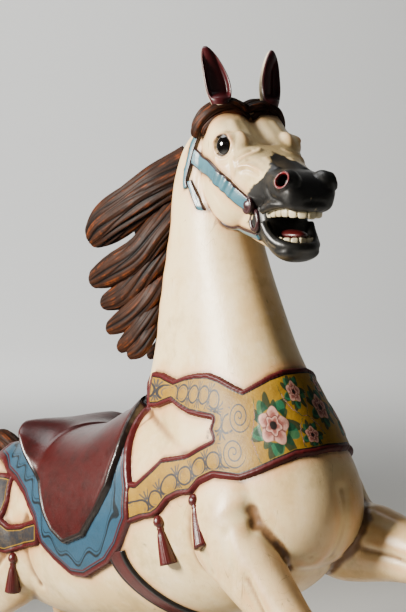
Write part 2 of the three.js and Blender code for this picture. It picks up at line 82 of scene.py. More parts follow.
HIND_LEG = [
    (-310, 652, -400, 640, 22, 46), (-270, 626, -440, 606, 52, 64), (-205, 560, -474, 570, 66, 80),
    (-176, 480, -480, 505, 70, 92), (-186, 415, -468, 444, 60, 100), (-246, 364, -458, 390, 44, 102),
    (-330, 316, -464, 346, 31, 102), (-398, 282, -476, 312, 27, 102), (-404, 246, -456, 262, 25, 102),
    (-390, 196, -434, 204, 20, 102), (-374, 150, -418, 152, 20, 102), (-352, 122, -408, 116, 25, 102),
    (-330, 98, -388, 92, 24, 102)]
EYE_CENTRE, EYE_RADIUS = (46.0, 56.0, -81.0), 20.0
BODY_GRID, HEAD_GRID = 4.6, 2.2  # size of the grid on which each skin is fused
OVERLAP_DIP = 1.6  # how far each skin dips under the other where they overlap on the neck
# Hems over the back: [place along, angle from the ridge].
BLANKET_HEM = [
    (-345, 34), (-308, 40), (-279, 48), (-236, 55), (-192, 66), (-157, 82), (-137, 100), (-101, 111),
    (-61, 121), (-19, 123), (56, 116), (95, 106), (118, 96), (137, 88), (144, 67), (127, 37), (118, 12),
    (106, 0)]
SADDLE_HEM = [
    (-238, 0), (-238, 27), (-187, 46), (-135, 60), (-106, 81), (-83, 92), (-48, 101), (12, 97), (60, 82),
    (96, 66), (117, 48), (121, 36), (112, 12), (100, 0)]
# Edges of the bands round the horse: [angle from ahead or from behind, height].
COLLAR_TOP = [
    (0, 859), (11, 858), (22, 850), (32, 838), (41, 827), (49, 833), (64, 844), (78, 849), (94, 847),
    (110, 841), (122, 832), (139, 839), (153, 838), (168, 838)]
COLLAR_BOTTOM = [
    (0, 733), (16, 728), (25, 715), (34, 700), (42, 689), (60, 687), (72, 672), (80, 653), (92, 647),
    (102, 635), (110, 612), (116, 601), (124, 594), (131, 582), (168, 560)]
COLLAR_WINDOW = [
    (66, 775), (82, 777), (95, 778), (108, 784), (121, 793), (136, 780), (150, 774), (168, 770),
    (168, 648), (131, 653), (122, 683), (116, 702), (103, 709), (92, 715), (77, 732), (64, 746), (68, 760)]
RUMP_TOP = [(0, 592), (30, 600), (60, 604), (79, 606), (97, 612)]
RUMP_BOTTOM = [
    (0, 486), (22, 478), (40, 488), (58, 472), (79, 461), (90, 460), (98, 468), (110, 480), (124, 494),
    (140, 500)]
RUMP_WINDOW = [
    (82, 596), (86, 560), (82, 524), (90, 516), (104, 524), (124, 546), (140, 556), (150, 640), (100, 640)]
# Tassels: knot, end, radius at the end.
TASSELS = [
    ((199, 140, 604), (222, 134, 528), 15), ((285, 134, 652), (330, 150, 578), 15),
    ((-234, 152, 462), (-240, 150, 388), 15)]
# Locks of hair: route, radius.
MANE = [
    ([(128, -4, 1196), (81, -45, 1160), (32, -66, 1126), (-30, -78, 1092), (-74, -84, 1064)], 44),
    ([(126, -14, 1140), (98, -52, 1086), (61, -70, 1042), (-6, -78, 1012), (-78, -80, 988)], 34),
    ([(114, -20, 1086), (85, -58, 1026), (25, -70, 974), (-52, -74, 946)], 27),
    ([(102, -26, 1030), (79, -60, 970), (30, -72, 928), (-32, -76, 900)], 24),
    ([(92, -30, 980), (75, -64, 928), (45, -72, 894), (2, -76, 868)], 21),
    ([(84, -34, 940), (80, -66, 900), (64, -72, 876), (32, -76, 858)], 18)]
TAIL = [
    ([(-462, 0, 606), (-520, -4, 622), (-566, -10, 560), (-578, -14, 450), (-560, -10, 330),
      (-588, -6, 214)], 34),
    ([(-462, 6, 596), (-512, 16, 606), (-548, 22, 536), (-556, 22, 420), (-540, 18, 320),
      (-560, 20, 236)], 28)]


# ---- Numbers and curves ----
def spline(points, count):
    """A smooth curve through the points, at count + 1 even places."""
    p = np.asarray(points, float)
    p = np.vstack([2 * p[0] - p[1], p, 2 * p[-1] - p[-2]])
    s = np.linspace(0, len(p) - 3, count + 1)
    k = np.minimum(s.astype(int), len(p) - 4)
    f = (s - k)[:, None]
    a, b, c, d = p[k], p[k + 1], p[k + 2], p[k + 3]
    near, far = (c - a) / 2, (d - b) / 2
    return ((2 * f**3 - 3 * f**2 + 1) * b + (f**3 - 2 * f**2 + f) * near + (3 * f**2 - 2 * f**3) * c
            + (f**3 - f**2) * far)


def smoothstep(value, low, high):
    """0 below low to 1 above high, with no corner at either."""
    t = np.clip((value - low) / (high - low), 0, 1)
    return t * t * (3 - 2 * t)


def signed_power(value, power):
    """A power that keeps the sign; it squares a circle or rounds a box."""
    return np.sign(value) * np.abs(value) ** power


def unit(vectors):
    """Rows of vectors, each made one long."""
    return vectors / np.linalg.norm(vectors, axis=1, keepdims=True)


def form(stations, sides=48, steps=6, roundness=2.2, side=1, lean=0.0):
    """Rings of a form whose side outline runs through the stations' two edges."""
    s = np.asarray(stations, float)
    curve = spline(s, (len(s) - 1) * steps)
    angle = np.linspace(0, 2 * np.pi, sides, endpoint=False)
    up, out = signed_power(np.cos(angle), 2 / roundness), signed_power(np.sin(angle), 2 / roundness)
    middle = np.stack([(curve[:, 0] + curve[:, 2]) / 2, curve[:, 5] * side,
                       (curve[:, 1] + curve[:, 3]) / 2], 1)
    half = np.stack([curve[:, 0], curve[:, 5] * side, curve[:, 1]], 1) - middle
    rings = middle[:, None] + half[:, None] * up[None, :, None]
    rings[:, :, 1] += curve[:, 4:5] * (1 + lean * np.cos(angle)) * out
    return rings


def ball(centre, radii, detail=24):
    """Rings of an ellipsoid, a hair open at its poles, where the skin closes it."""
    polar = np.linspace(0.02, np.pi - 0.02, detail)
    angle = np.linspace(0, 2 * np.pi, detail, endpoint=False)
    unit = np.stack([np.sin(polar)[:, None] * np.cos(angle), np.sin(polar)[:, None] * np.sin(angle),
                     np.repeat(np.cos(polar)[:, None], detail, 1)], 2)
    return np.asarray(centre, float) + unit * np.asarray(radii, float)


def tube(path, radius, sides=16, count=24):
    """Rings of a round cord along a curve; the radius may vary along it."""
    centre = spline(path, count)
    along = unit(np.gradient(centre, axis=0))
    guide = np.array([0.0, 1.0, 0.0]) if abs(along[0][1]) < 0.9 else np.array([0.0, 0.0, 1.0])
    across = unit(guide - along * (along @ guide)[:, None])
    over = np.cross(along, across)
    radii = np.atleast_1d(radius)
    r = np.interp(np.linspace(0, 1, count + 1), np.linspace(0, 1, len(radii)), radii)
    angle = np.linspace(0, 2 * np.pi, sides, endpoint=False)
    return centre[:, None] + r[:, None, None] * (across[:, None] * np.cos(angle)[None, :, None]
                                                + over[:, None] * np.sin(angle)[None, :, None])


def spun(points, angle):
    """Points turned about the upright axis."""
    c, s = math.cos(angle), math.sin(angle)
    return points @ np.array([[c, s, 0], [-s, c, 0], [0, 0, 1]])


def head_to_row(points):
    """From the head's own axes, which turn with it, to the horse's."""
    return spun(np.asarray(points, float), HEAD_TURN) + HEAD_PIVOT


def row_to_head(points):
    return spun(np.asarray(points, float) - HEAD_PIVOT, -HEAD_TURN)


def path_distance(points, path):
    """Distance from each point to a path, and how far along it the nearest place lies, from 0 to 1."""
    best, where = np.full(len(points), 1e9), np.zeros(len(points))
    path = np.asarray(path, float)
    for i in range(len(path) - 1):
        step = path[i + 1] - path[i]
        t = np.clip((points - path[i]) @ step / max(step @ step, 1e-9), 0, 1)
        d = np.linalg.norm(points - path[i] - t[:, None] * step, axis=1)
        nearer = d < best
        best[nearer], where[nearer] = d[nearer], (i + t[nearer]) / (len(path) - 1)
    return best, where


def inside_distance(x, y, outline):
    """Distance in from a closed outline, negative outside it."""
    points = np.stack([x.ravel(), y.ravel()], 1)
    ring = np.asarray(list(outline) + [outline[0]], float)
    distance, _ = path_distance(points, ring)
    inside = np.zeros(len(points), bool)
    for (x0, y0), (x1, y1) in zip(ring[:-1], ring[1:]):
        crosses = (y0 > points[:, 1]) != (y1 > points[:, 1])
        inside ^= crosses & (points[:, 0] < (x1 - x0) * (points[:, 1] - y0) / (y1 - y0 + 1e-12) + x0)
    return np.where(inside, distance, -distance).reshape(x.shape)


# ---- Meshes ----
def skin(bm, rings):
    """Quads between rings whose side lines are already matched, with a fan over each end."""
    rows = [[bm.verts.new(Vector(p) * MM) for p in ring] for ring in rings]
    count = len(rows[0])
    for a, b in zip(rows[:-1], rows[1:]):
        for j in range(count):
            k = (j + 1) % count
            bm.faces.new((a[j], a[k], b[k], b[j]))
    for row in (rows[0], rows[-1]):
        centre = bm.verts.new(sum((v.co for v in row), Vector()) / count)
        for j in range(count):
            bm.faces.new((row[j], row[(j + 1) % count], centre))


def linked(name, mesh):
    """Puts a mesh in the scene as a smooth-shaded object."""
    mesh.shade_smooth()
    obj = bpy.data.objects.new(name, mesh)
    bpy.context.collection.objects.link(obj)
    return obj


def object_of(name, bm):
    """An object of a finished bmesh, its faces pointing out."""
    bmesh.ops.recalc_face_normals(bm, faces=bm.faces)
    mesh = bpy.data.meshes.new(name)
    bm.to_mesh(mesh)
    bm.free()
    return linked(name, mesh)


def skinned(name, all_rings):
    """One object of several closed forms."""
    bm = bmesh.new()
    for rings in all_rings:
        skin(bm, rings)
    return object_of(name, bm)


def applied(obj):
    """Bakes an object's modifiers into its mesh."""
    evaluated = obj.evaluated_get(bpy.context.evaluated_depsgraph_get())
    mesh = bpy.data.meshes.new_from_object(evaluated)
    obj.modifiers.clear()
    old, obj.data = obj.data, mesh
    bpy.data.meshes.remove(old)
    return obj


def fused(obj, voxel):
    """Makes overlapping closed forms one skin."""
    remesh = obj.modifiers.new("fuse", "REMESH")
    remesh.mode, remesh.voxel_size = "VOXEL", voxel * MM
    return applied(obj)


def coordinates(mesh):
    """The mesh's vertices in millimetres."""
    points = np.empty(len(mesh.vertices) * 3)
    mesh.vertices.foreach_get("co", points)
    return points.reshape(-1, 3) / MM


def set_coordinates(mesh, points):
    mesh.vertices.foreach_set("co", (points * MM).ravel())
    mesh.update()


def normals(mesh):
    values = np.empty(len(mesh.vertices) * 3, np.float32)
    mesh.vertex_normals.foreach_get("vector", values)
    return values.reshape(-1, 3).astype(float)


def neighbour_mean(mesh):
    """A function that averages any per-vertex values over each vertex's neighbours."""
    edges = np.empty(len(mesh.edges) * 2, np.int32)
    mesh.edges.foreach_get("vertices", edges)
    a, b = edges.reshape(-1, 2).T
    count = np.bincount(np.concatenate([a, b]), minlength=len(mesh.vertices))

    def mean(values):
        values = values.reshape(len(count), -1)
        total = np.stack([np.bincount(np.concatenate([a, b]), np.concatenate([c[b], c[a]]), len(count))
                          for c in values.T], 1)
        return total / count[:, None]
    return mean


def smoothed(points, mean, rounds, share):
    """Smooths each vertex by its share, without shrinking: each inward pass has an outward one."""
    for _ in range(rounds):
        for pull in (0.6, -0.62):
            points = points + pull * share[:, None] * (mean(points) - points)
    return points


def set_attribute(mesh, name, values):
    attribute = mesh.attributes.get(name) or mesh.attributes.new(name, "FLOAT", "POINT")
    attribute.data.foreach_set("value", np.ascontiguousarray(values, np.float32))


# ---- The bare carving ----
def body_rings():
    """Every bare form below the head, overlapping, before they are fused."""
    rings = [form(TRUNK, 72), form(NECK, 64)[:62]]
    rings += [form(FORELEG_RIGHT, 40, side=-1), form(FORELEG_LEFT, 40, side=-1)]
    rings += [form(HIND_LEG, 40, side=1), form(HIND_LEG, 40, side=-1)]
    return rings + [form(s, 40, 8, 2.3, side=k) for s, k in HOOVES]


UPPER_LIP = [
    (140, 45, -187), (163, 42, -180), (188, 38, -176), (207, 29, -177), (218, 14, -180), (221, 0, -181)]
LOWER_LIP = [
    (140, 43, -206), (150, 40, -222), (166, 35, -236), (183, 26, -243), (194, 12, -246), (196, 0, -246)]


def head_rings():
    """The head's forms and the top of the neck."""
    local = [form(SKULL, 64, 6, 3.4, lean=0.12), form(JAW, 56, 6, 2.3, lean=0.16),
             ball((168, 0, -250), (29, 26, 14), 32)]
    for side in (-1, 1):
        local.append(ball((8, 24 * side, -148), (60, 46, 60), 40))
        local.append(ball((48, 44 * side, -86), (34, 26, 28), 32))
        local.append(ball((197, 30 * side, -147), (26, 19, 23), 32))
        for path, r in ((UPPER_LIP, (7, 9, 10, 10, 9)), (LOWER_LIP, (6, 8, 9, 9, 9))):
            local.append(tube([(x, y * side, z) for x, y, z in path], r))
    return [head_to_row(rings) for rings in local] + [form(NECK, 64)[44:]]


# Each hoof's stations, at the pastern's end, the coronet and the toe, and its side.
HIND_HOOF = [
    (-330, 112, -392, 104, 25, 102), (-326, 104, -392, 96, 27, 102), (-300, 60.4, -386, 60.4, 36, 102)]
HOOVES = [
    (HIND_HOOF, 1), (HIND_HOOF, -1),
    ([(474, 228, 424, 246, 23, 106), (474, 218, 422, 240, 25, 106), (448, 164, 376, 196, 34, 106)], -1),
    ([(598, 368, 552, 398, 23, -104), (592, 362, 548, 392, 25, -104), (566, 306, 500, 348, 34, -104)], -1)]


def carve(points, normal, path, depth, width):
    """Sinks a gouge line, or raises a ridge where the depth is negative, along a path."""
    reach = np.linalg.norm(points - np.mean(path, 0), axis=1) < np.ptp(path, axis=0).max() + 4 * width
    index = np.flatnonzero(reach)
    if not len(index):
        return points
    distance, along = path_distance(points[index], spline(path, 24) if len(path) > 2 else path)
    fade = smoothstep(along, 0, 0.12) * smoothstep(1 - along, 0, 0.12)
    amount = depth * np.exp(-(distance / width) ** 2.0) * fade
    points[index] -= normal[index] * amount[:, None]
    return points


def both_sides(path):
    """The path on the right side, then on the left."""
    return [[(x, y * side, z) for x, y, z in path] for side in (-1, 1)]


# Gouge lines of the head: path, depth, width; negative depths are raised veins and ridges.
HEAD_STROKES = [
    # Veins that run down and forward from the eye, with the hollows beside them.
    ([(68, 67, -82), (74, 66, -94), (82, 64, -115), (81, 67, -132), (79, 68, -150)], -2.2, 3.2),
    ([(62, 70, -100), (70, 70, -112), (74, 70, -130), (72, 70, -146)], 1.8, 3.6),
    ([(84, 63, -114), (90, 58, -106), (98, 46, -97), (98, 30, -91), (88, 18, -84)], -2.4, 3.4),
    ([(84, 60, -104), (90, 50, -96), (92, 34, -88)], 1.6, 3.4),
    ([(84, 63, -119), (96, 59, -116), (108, 54, -115), (124, 49, -120), (144, 47, -127)], -2.4, 3.4),
    ([(92, 62, -124), (106, 57, -122), (122, 51, -127), (140, 48, -134)], 2.2, 3.6),
    ([(98, 52, -107), (112, 46, -107), (130, 42, -114)], 1.6, 4.0),
    # The fold over the upper lid.
    ([(28, 74, -72), (36, 70, -58), (50, 66, -53), (66, 62, -58), (76, 60, -74)], 1.8, 2.6),
    ([(20, 76, -84), (26, 74, -62), (44, 66, -48), (66, 58, -50), (84, 54, -68)], -1.8, 3.4),
    # The brow's middle furrow, its ridge over each eye and the edge of the nose bone.
    ([(16, 0, -24), (40, 3, -42), (62, 5, -60), (84, 8, -80)], 4.5, 13),
    ([(24, 38, -30), (48, 42, -48), (72, 42, -62), (92, 36, -80)], -3.0, 9),
    ([(110, 22, -98), (136, 24, -112), (160, 26, -122)], -2.0, 7),
    # Creases round the nostril and behind the corners of the mouth.
    ([(168, 50, -122), (186, 50, -124), (206, 44, -132)], 2.2, 4),
    ([(158, 50, -148), (170, 50, -164), (188, 46, -172), (208, 38, -174)], 2.6, 4.5),
    ([(146, 50, -158), (153, 50, -172), (158, 48, -182)], 2.2, 3.4),
    ([(134, 50, -164), (140, 49, -177), (144, 48, -188)], 2.0, 3.2),
    ([(134, 46, -208), (138, 44, -222), (148, 40, -238)], 2.4, 3.6),
    ([(122, 46, -206), (126, 45, -222), (134, 41, -238)], 2.0, 3.2),
    # The cheek's lower, front and back edges.
    ([(26, 76, -150), (48, 73, -186), (74, 62, -210), (104, 50, -220)], 2.6, 6),
    ([(100, 52, -190), (116, 48, -206), (122, 44, -226)], 2.0, 5),
    ([(-30, 74, -110), (-40, 70, -140), (-36, 66, -176)], 2.0, 6)]
# Gouge lines of the body, in the horse's axes, written alike; the paired ones are cut on both sides.
BREAST_FURROW = ([(478, 0, 690), (504, 0, 640), (494, 0, 590), (462, 0, 548)], 5, 13)
PAIRED_STROKES = [
    # The muscle that runs from the breast's furrow to each leg, then the flank fold and haunch.
    ([(470, 26, 560), (446, 58, 586), (418, 86, 620), (396, 110, 660)], 4.5, 13),
    ([(-190, 150, 560), (-200, 150, 500), (-190, 140, 440), (-168, 120, 400)], 6, 14)]
SINGLE_STROKES = [
    # Elbow creases.
    ([(300, -150, 600), (330, -146, 570), (352, -140, 530)], 4, 12),
    ([(286, 150, 650), (310, 150, 610), (330, 146, 560)], 4, 12),
    # Muscle and tendon down the right foreleg.
    ([(404, -110, 640), (414, -120, 590), (440, -118, 545), (476, -112, 500)], 4.5, 8),
    ([(372, -140, 620), (388, -142, 580), (414, -138, 540), (452, -128, 490)], 4.5, 8),
    ([(426, -84, 600), (446, -84, 560), (474, -88, 520)], 4, 7),
    ([(388, -126, 626), (402, -132, 584), (428, -128, 542), (464, -120, 496)], -3.5, 8),
    # The same down the left foreleg.
    ([(420, 120, 640), (470, 118, 606), (530, 116, 590)], 4, 8),
    ([(400, 90, 600), (450, 84, 560), (510, 84, 548)], 4, 8),
    ([(424, 76, 640), (480, 78, 618), (540, 84, 606)], 4, 8)]


# Gouges that part tendon from bone and edge the knees and hocks. Each route is given as
# [x, how far out from the leg's middle, height], and is cut on the leg's inner and outer side.
FORELEG_RIGHT_STROKES = [
    ([(520, 34, 400), (496, 23, 330), (470, 23, 270)], 4.5, 5),
    ([(544, 32, 470), (520, 34, 440), (508, 32, 400)], 4, 6),
    ([(420, 44, 560), (460, 38, 500), (498, 32, 440)], 5, 8)]
FORELEG_LEFT_STROKES = [
    ([(640, 30, 510), (622, 23, 450), (598, 23, 400)], 4.5, 5),
    ([(470, 50, 570), (540, 42, 568), (606, 34, 556)], 5, 8),
    ([(652, 32, 580), (640, 34, 550), (632, 32, 520)], 4, 6)]
HIND_LEG_STROKES = [
    ([(-432, 24, 270), (-424, 24, 230), (-406, 24, 190), (-390, 24, 160)], 4, 5),
    ([(-390, 30, 350), (-420, 30, 310), (-444, 28, 280)], 5, 8),
    ([(-250, 60, 470), (-300, 54, 420), (-370, 38, 370)], 6, 11)]


def leg_strokes():
    legs = ((-106, FORELEG_RIGHT_STROKES), (104, FORELEG_LEFT_STROKES),
            (-102, HIND_LEG_STROKES), (102, HIND_LEG_STROKES))
    return [([(x, middle + out * face, z) for x, out, z in path], depth, width)
            for face in (-1, 1) for middle, strokes in legs for path, depth, width in strokes]


def finished(name, rings, voxel, rounds, shape):
    """Fuses forms into one skin, smooths it, more softly on the hooves, and lets shape carve it."""
    obj = fused(skinned(name, rings), voxel)
    mesh = obj.data
    mean = neighbour_mean(mesh)
    points = coordinates(mesh)
    hoof = hoof_share(points)
    points = smoothed(points, mean, rounds, 1 - 0.9 * hoof)
    set_coordinates(mesh, points)
    points = smoothed(shape(points, normals(mesh)), mean, 2, 1 - hoof)
    set_coordinates(mesh, points)
    mesh.shade_smooth()
    return obj


def carve_all(points, normal, strokes):
    for path, depth, width in strokes:
        points = carve(points, normal, np.asarray(path, float), depth, width)
    return points


def carved_body(points, normal):
    paired = [(path, depth, width) for half, depth, width in PAIRED_STROKES for path in both_sides(half)]
    points = carve_all(points, normal, [BREAST_FURROW] + paired + SINGLE_STROKES + leg_strokes())
    return points - normal * (OVERLAP_DIP * smoothstep(points[:, 2], 1062, 1135))[:, None]


def carved_head(points, normal):
    strokes = [(head_to_row(path), depth, width)
               for half, depth, width in HEAD_STROKES for path in both_sides(half)]
    points = carve_all(points, normal, strokes)
    points = open_eyes(points)
    points = open_nostrils(points)
    return points - normal * (OVERLAP_DIP * (1 - smoothstep(points[:, 2], 1005, 1085)))[:, None]


def hoof_share(points):
    """1 on the hooves, 0 on the rest, from the plane of each coronet."""
    share = np.zeros(len(points))
    for stations, side in HOOVES:
        a, b = np.array(stations[1], float), np.array(stations[2], float)
        top = np.array([(a[0] + a[2]) / 2, a[5] * side, (a[1] + a[3]) / 2])
        toe = np.array([(b[0] + b[2]) / 2, b[5] * side, (b[1] + b[3]) / 2])
        axis = (toe - top) / np.linalg.norm(toe - top)
        edge = np.array([a[0] - a[2], 0, a[1] - a[3]])
        plane = np.cross(edge / np.linalg.norm(edge), [0, 1, 0])
        plane *= np.sign(plane @ axis)
        past = (points - top) @ plane
        near = np.linalg.norm(points - (top + toe) / 2, axis=1) < 90
        share = np.maximum(share, near * smoothstep(past, -1, 2))
    return share


EYE_WAY = (0.34, 0.94, 0.0)
# The socket's section: [distance from the eye's axis, height over its centre].
LID_PROFILE = [
    (0, 9), (15.0, 9), (16.6, 13.6), (17.8, 16.6), (19.6, 16.9), (21.6, 15.3), (23.4, 14.6), (26, 16.2),
    (30, 16.4)]
NOSTRIL, NOSTRIL_WAY = (201.0, 41.0, -142.0), (0.60, 0.79, 0.10)


def axis_place(points, centre, way, side):
    """Height along an axis of the head, the offset from it, and the axis in the horse's own frame."""
    way = np.array(way) * [1, side, 1]
    offset = row_to_head(points) - np.array(centre) * [1, side, 1]
    height = offset @ way / np.linalg.norm(way)
    spoke = offset - height[:, None] * way
    return height, spoke, head_to_row([way])[0] - HEAD_PIVOT


def open_eyes(points):
    """Cuts each socket, with two lids that stand round the glass and a fold outside them."""
    for side in (-1, 1):
        height, spoke, way = axis_place(points, EYE_CENTRE, EYE_WAY, side)
        r = np.hypot(np.linalg.norm(spoke[:, :2], axis=1) * 0.97, spoke[:, 2] - 0.5)
        target = np.interp(r, *np.array(LID_PROFILE).T)
        upper = smoothstep(spoke[:, 2], 2, 14)
        target = target + 1.6 * upper * np.exp(-((r - 19) / 3) ** 2)
        share = (1 - smoothstep(r, 25, 38)) * (height > 0)
        rise = np.minimum(target - height, np.interp(r, [18, 25], [9, 0]))
        points = points + way * (share * rise)[:, None]
    return points


def nostril_place(points, side):
    """Distance from a nostril's slanting axis, over an oval, and that axis."""
    height, spoke, way = axis_place(points, NOSTRIL, NOSTRIL_WAY, side)
    tilt = math.radians(30)
    level = np.linalg.norm(spoke[:, :2], axis=1) * np.sign(spoke[:, 0])
    u = level * math.cos(tilt) + spoke[:, 2] * math.sin(tilt)
    w = spoke[:, 2] * math.cos(tilt) - level * math.sin(tilt)
    return np.where(height > -14, np.hypot(u * 0.92, w * 1.08), 99.0), way


def open_nostrils(points):
    """Sinks each nostril and turns its rim up."""
    for side in (-1, 1):
        r, way = nostril_place(points, side)
        shift = 4.0 * np.exp(-((r - 13.2) / 2.8) ** 2) - 17 * (1 - smoothstep(r, 6.5, 11.5))
        points = points + way * shift[:, None]
    return points


# ---- Carved sheets laid over the body: tack ----
def cast(tree, origins, towards, layers=1):
    """Where rays from inside leave the body: at the first skin, or the last of several that overlap."""
    hits = np.empty_like(origins)
    flat, ways, out = origins.reshape(-1, 3) * MM, towards.reshape(-1, 3), hits.reshape(-1, 3)
    for i in range(len(flat)):
        start, end = Vector(flat[i]), None
        way = Vector(ways[i])
        for _ in range(layers):
            hit = tree.ray_cast(start, way, 0.5)[0]
            if hit is None:
                break
            end, start = hit, hit + way * 1e-5
        out[i] = np.array(end if end is not None else flat[i]) / MM
    return hits


def blurred(grid, rounds=2):
    """Averages a grid with its neighbours, keeping its edge rows."""
    for _ in range(rounds):
        padded = np.pad(grid, ((1, 1), (1, 1)) + ((0, 0),) * (grid.ndim - 2), mode="edge")
        grid = (padded[:-2, 1:-1] + padded[2:, 1:-1] + padded[1:-1, :-2] + padded[1:-1, 2:] + 2 * grid) / 6
    return grid


def snapped(u, v, distance_of, reach):
    """Shifts the grid points nearest to an outline onto it, so that carved edges run clean."""
    d = distance_of(u, v)
    step = 0.5
    slope_u = (distance_of(u + step, v) - distance_of(u - step, v)) / (2 * step)
    slope_v = (distance_of(u, v + step) - distance_of(u, v - step)) / (2 * step)
    near = np.abs(d) < reach
    return u - near * d * slope_u, v - near * d * slope_v


def sheet(name, base, towards, lift, fields, cut=-2.0, skirt=5.0, stretch=14.0):
    """A raised sheet over a grid of body points, kept where its lift is over the cut, with a sunk skirt."""
    down, across = np.gradient(base, axis=0), np.gradient(base, axis=1)
    out = np.cross(down, across)
    out *= np.sign(np.sum(out * towards, 2, keepdims=True))
    out = blurred(out / np.maximum(np.linalg.norm(out, axis=2, keepdims=True), 1e-9), 4)
    out /= np.maximum(np.linalg.norm(out, axis=2, keepdims=True), 1e-9)
    lift = blurred(lift, 1)
    top = base + out * lift[..., None]
    rows, columns = lift.shape
    index = np.arange(rows * columns).reshape(rows, columns)
    quads = np.stack([index[:-1, :-1], index[:-1, 1:], index[1:, 1:], index[1:, :-1]], 2).reshape(-1, 4)
    height = lift.ravel()[quads]
    flat = top.reshape(-1, 3)
    corners = flat[quads]
    longest = np.linalg.norm(corners - np.roll(corners, 1, 1), axis=2).max(1)
    quads = quads[(height.max(1) > cut) & (longest < stretch)]
    corners = flat[quads]
    facing = np.sum(np.cross(corners[:, 1] - corners[:, 0], corners[:, 3] - corners[:, 0])
                    * towards.reshape(-1, 3)[quads[:, 0]])
    if facing < 0:
        quads = quads[:, ::-1]
    edges = np.stack([quads, np.roll(quads, -1, 1)], 2).reshape(-1, 2)
    key = edges.min(1) * (rows * columns) + edges.max(1)
    _, first, count = np.unique(key, return_index=True, return_counts=True)
    rim = edges[first[count == 1]]
    sunk = flat - out.reshape(-1, 3) * (np.maximum(lift.ravel(), 0) + skirt)[:, None]
    walls = np.stack([rim[:, 1], rim[:, 0], rim[:, 0] + len(flat), rim[:, 1] + len(flat)], 1)
    faces = np.vstack([quads, walls])
    used, faces = np.unique(faces, return_inverse=True)
    faces = faces.reshape(-1, 4)
    points = np.vstack([flat, sunk])[used]
    mesh = bpy.data.meshes.new(name)
    mesh.from_pydata(points * MM, [], faces.tolist())
    for key, values in fields.items():
        set_attribute(mesh, key, np.tile(values.ravel(), 2)[used])
    return linked(name, mesh)


def around_upright(x, degrees, z):
    """Rays out from an upright line through the middle plane, by angle from ahead."""
    angle = np.radians(degrees)
    origins = np.stack([np.full_like(z, x), np.zeros_like(z), z], -1)
    return origins, np.stack([np.cos(angle), np.sin(angle), np.zeros_like(z)], -1)


def around_trunk(s, degrees):
    """Rays out from the trunk's sloping middle line, by angle from the ridge of the back."""
    angle = np.radians(degrees)
    height, slope = TRUNK_AXIS
    c, n = math.cos(slope), math.sin(slope)
    origins = np.stack([s * c, np.zeros_like(s), height + s * n], -1)
    return origins, np.stack([-n * np.cos(angle), -np.sin(angle), c * np.cos(angle)], -1)


def arc_table(tree, rays):
    """Length over the body, in millimetres, from the first ray to each of the others."""
    origins, towards = rays
    points = cast(tree, origins[None], towards[None])[0]
    steps = np.linalg.norm(np.diff(points, axis=0), axis=1)
    steps = np.convolve(np.pad(steps, 6, mode="edge"), np.ones(13) / 13, "valid")
    return np.concatenate([[0], np.cumsum(np.minimum(steps, 9))])


def rounded(d, radius):
    """A quarter-round edge, from 0 at the edge to 1 at the radius in from it."""
    return np.sqrt(np.clip(1 - (1 - np.clip(d, 0, radius) / radius) ** 2, 0, 1))


def band_profile(d, height, bead=8.0, groove=1.6):
    """Height over the body at a distance in from a band's edge: a rounded rim, a groove, a flat field."""
    rim = height * np.sqrt(np.clip(1 - (1 - d / (bead * 0.5)) ** 2, 0, 1))
    rim = np.where(d > bead * 0.5, height, rim)
    field = height * 0.72 + 0.6 * smoothstep(d, bead + 2, bead + 14)
    mixed = np.where(d < bead, rim, field) - groove * np.exp(-((d - bead) / 1.5) ** 2)
    return np.where(d < 0, np.maximum(d * 3, -4), mixed)


def bands(tree, x, ahead, reach, z_range, outline, window, height, step):
    """The collar, or the band round the rump: shape from its outline, less its windows."""
    degrees = np.linspace(0, reach, int(reach * 2) + 1)
    level = np.full_like(degrees, np.mean(z_range))
    arcs = arc_table(tree, around_upright(x, ahead + degrees, level))

    def flat_path(path):
        return [(float(np.interp(a, degrees, arcs)) if a >= 0 else -60.0, z) for a, z in path]
    outer, hole = flat_path(outline), flat_path(window)

    def distance_of(u, z):
        d = inside_distance(np.abs(u), z, outer)
        return np.minimum(d, -inside_distance(np.abs(u), z, hole))
    u = np.arange(-arcs[-1], arcs[-1] + step, step)
    z = np.arange(z_range[0], z_range[1] + step, step)
    u, z = np.meshgrid(u, z)
    u, z = snapped(u, z, distance_of, step * 0.62)
    angle = np.sign(u) * np.interp(np.abs(u), arcs, degrees)
    origins, towards = around_upright(x, ahead + angle, z)
    base = blurred(cast(tree, origins, towards), 2)
    d = distance_of(u, z)
    fields = {"edge": d, "turn": angle, "across": u, "height": z}
    return base, towards, band_profile(d, height), fields, flat_path


# Painted figures of the collar: middle line of each oval chain, [angle, height].
CHAINS = [
    [(45, 784), (54, 768), (62, 776), (66, 806), (75, 812), (86, 812), (97, 812), (110, 810), (122, 808),
     (150, 806)],
    [(46, 729), (52, 716), (60, 712), (70, 704), (80, 688), (90, 678), (101, 664), (111, 640), (118, 626),
     (130, 606), (150, 600)]]
# Roses, and spirals where the angle is over 38: [angle, height, radius].
ROSES = [
    (-24, 772, 30), (-9, 822, 17), (5, 796, 20), (24, 770, 27), (-7, 758, 13), (14, 828, 13),
    (-43, 784, 25), (-46, 729, 24), (43, 784, 25), (46, 729, 24)]


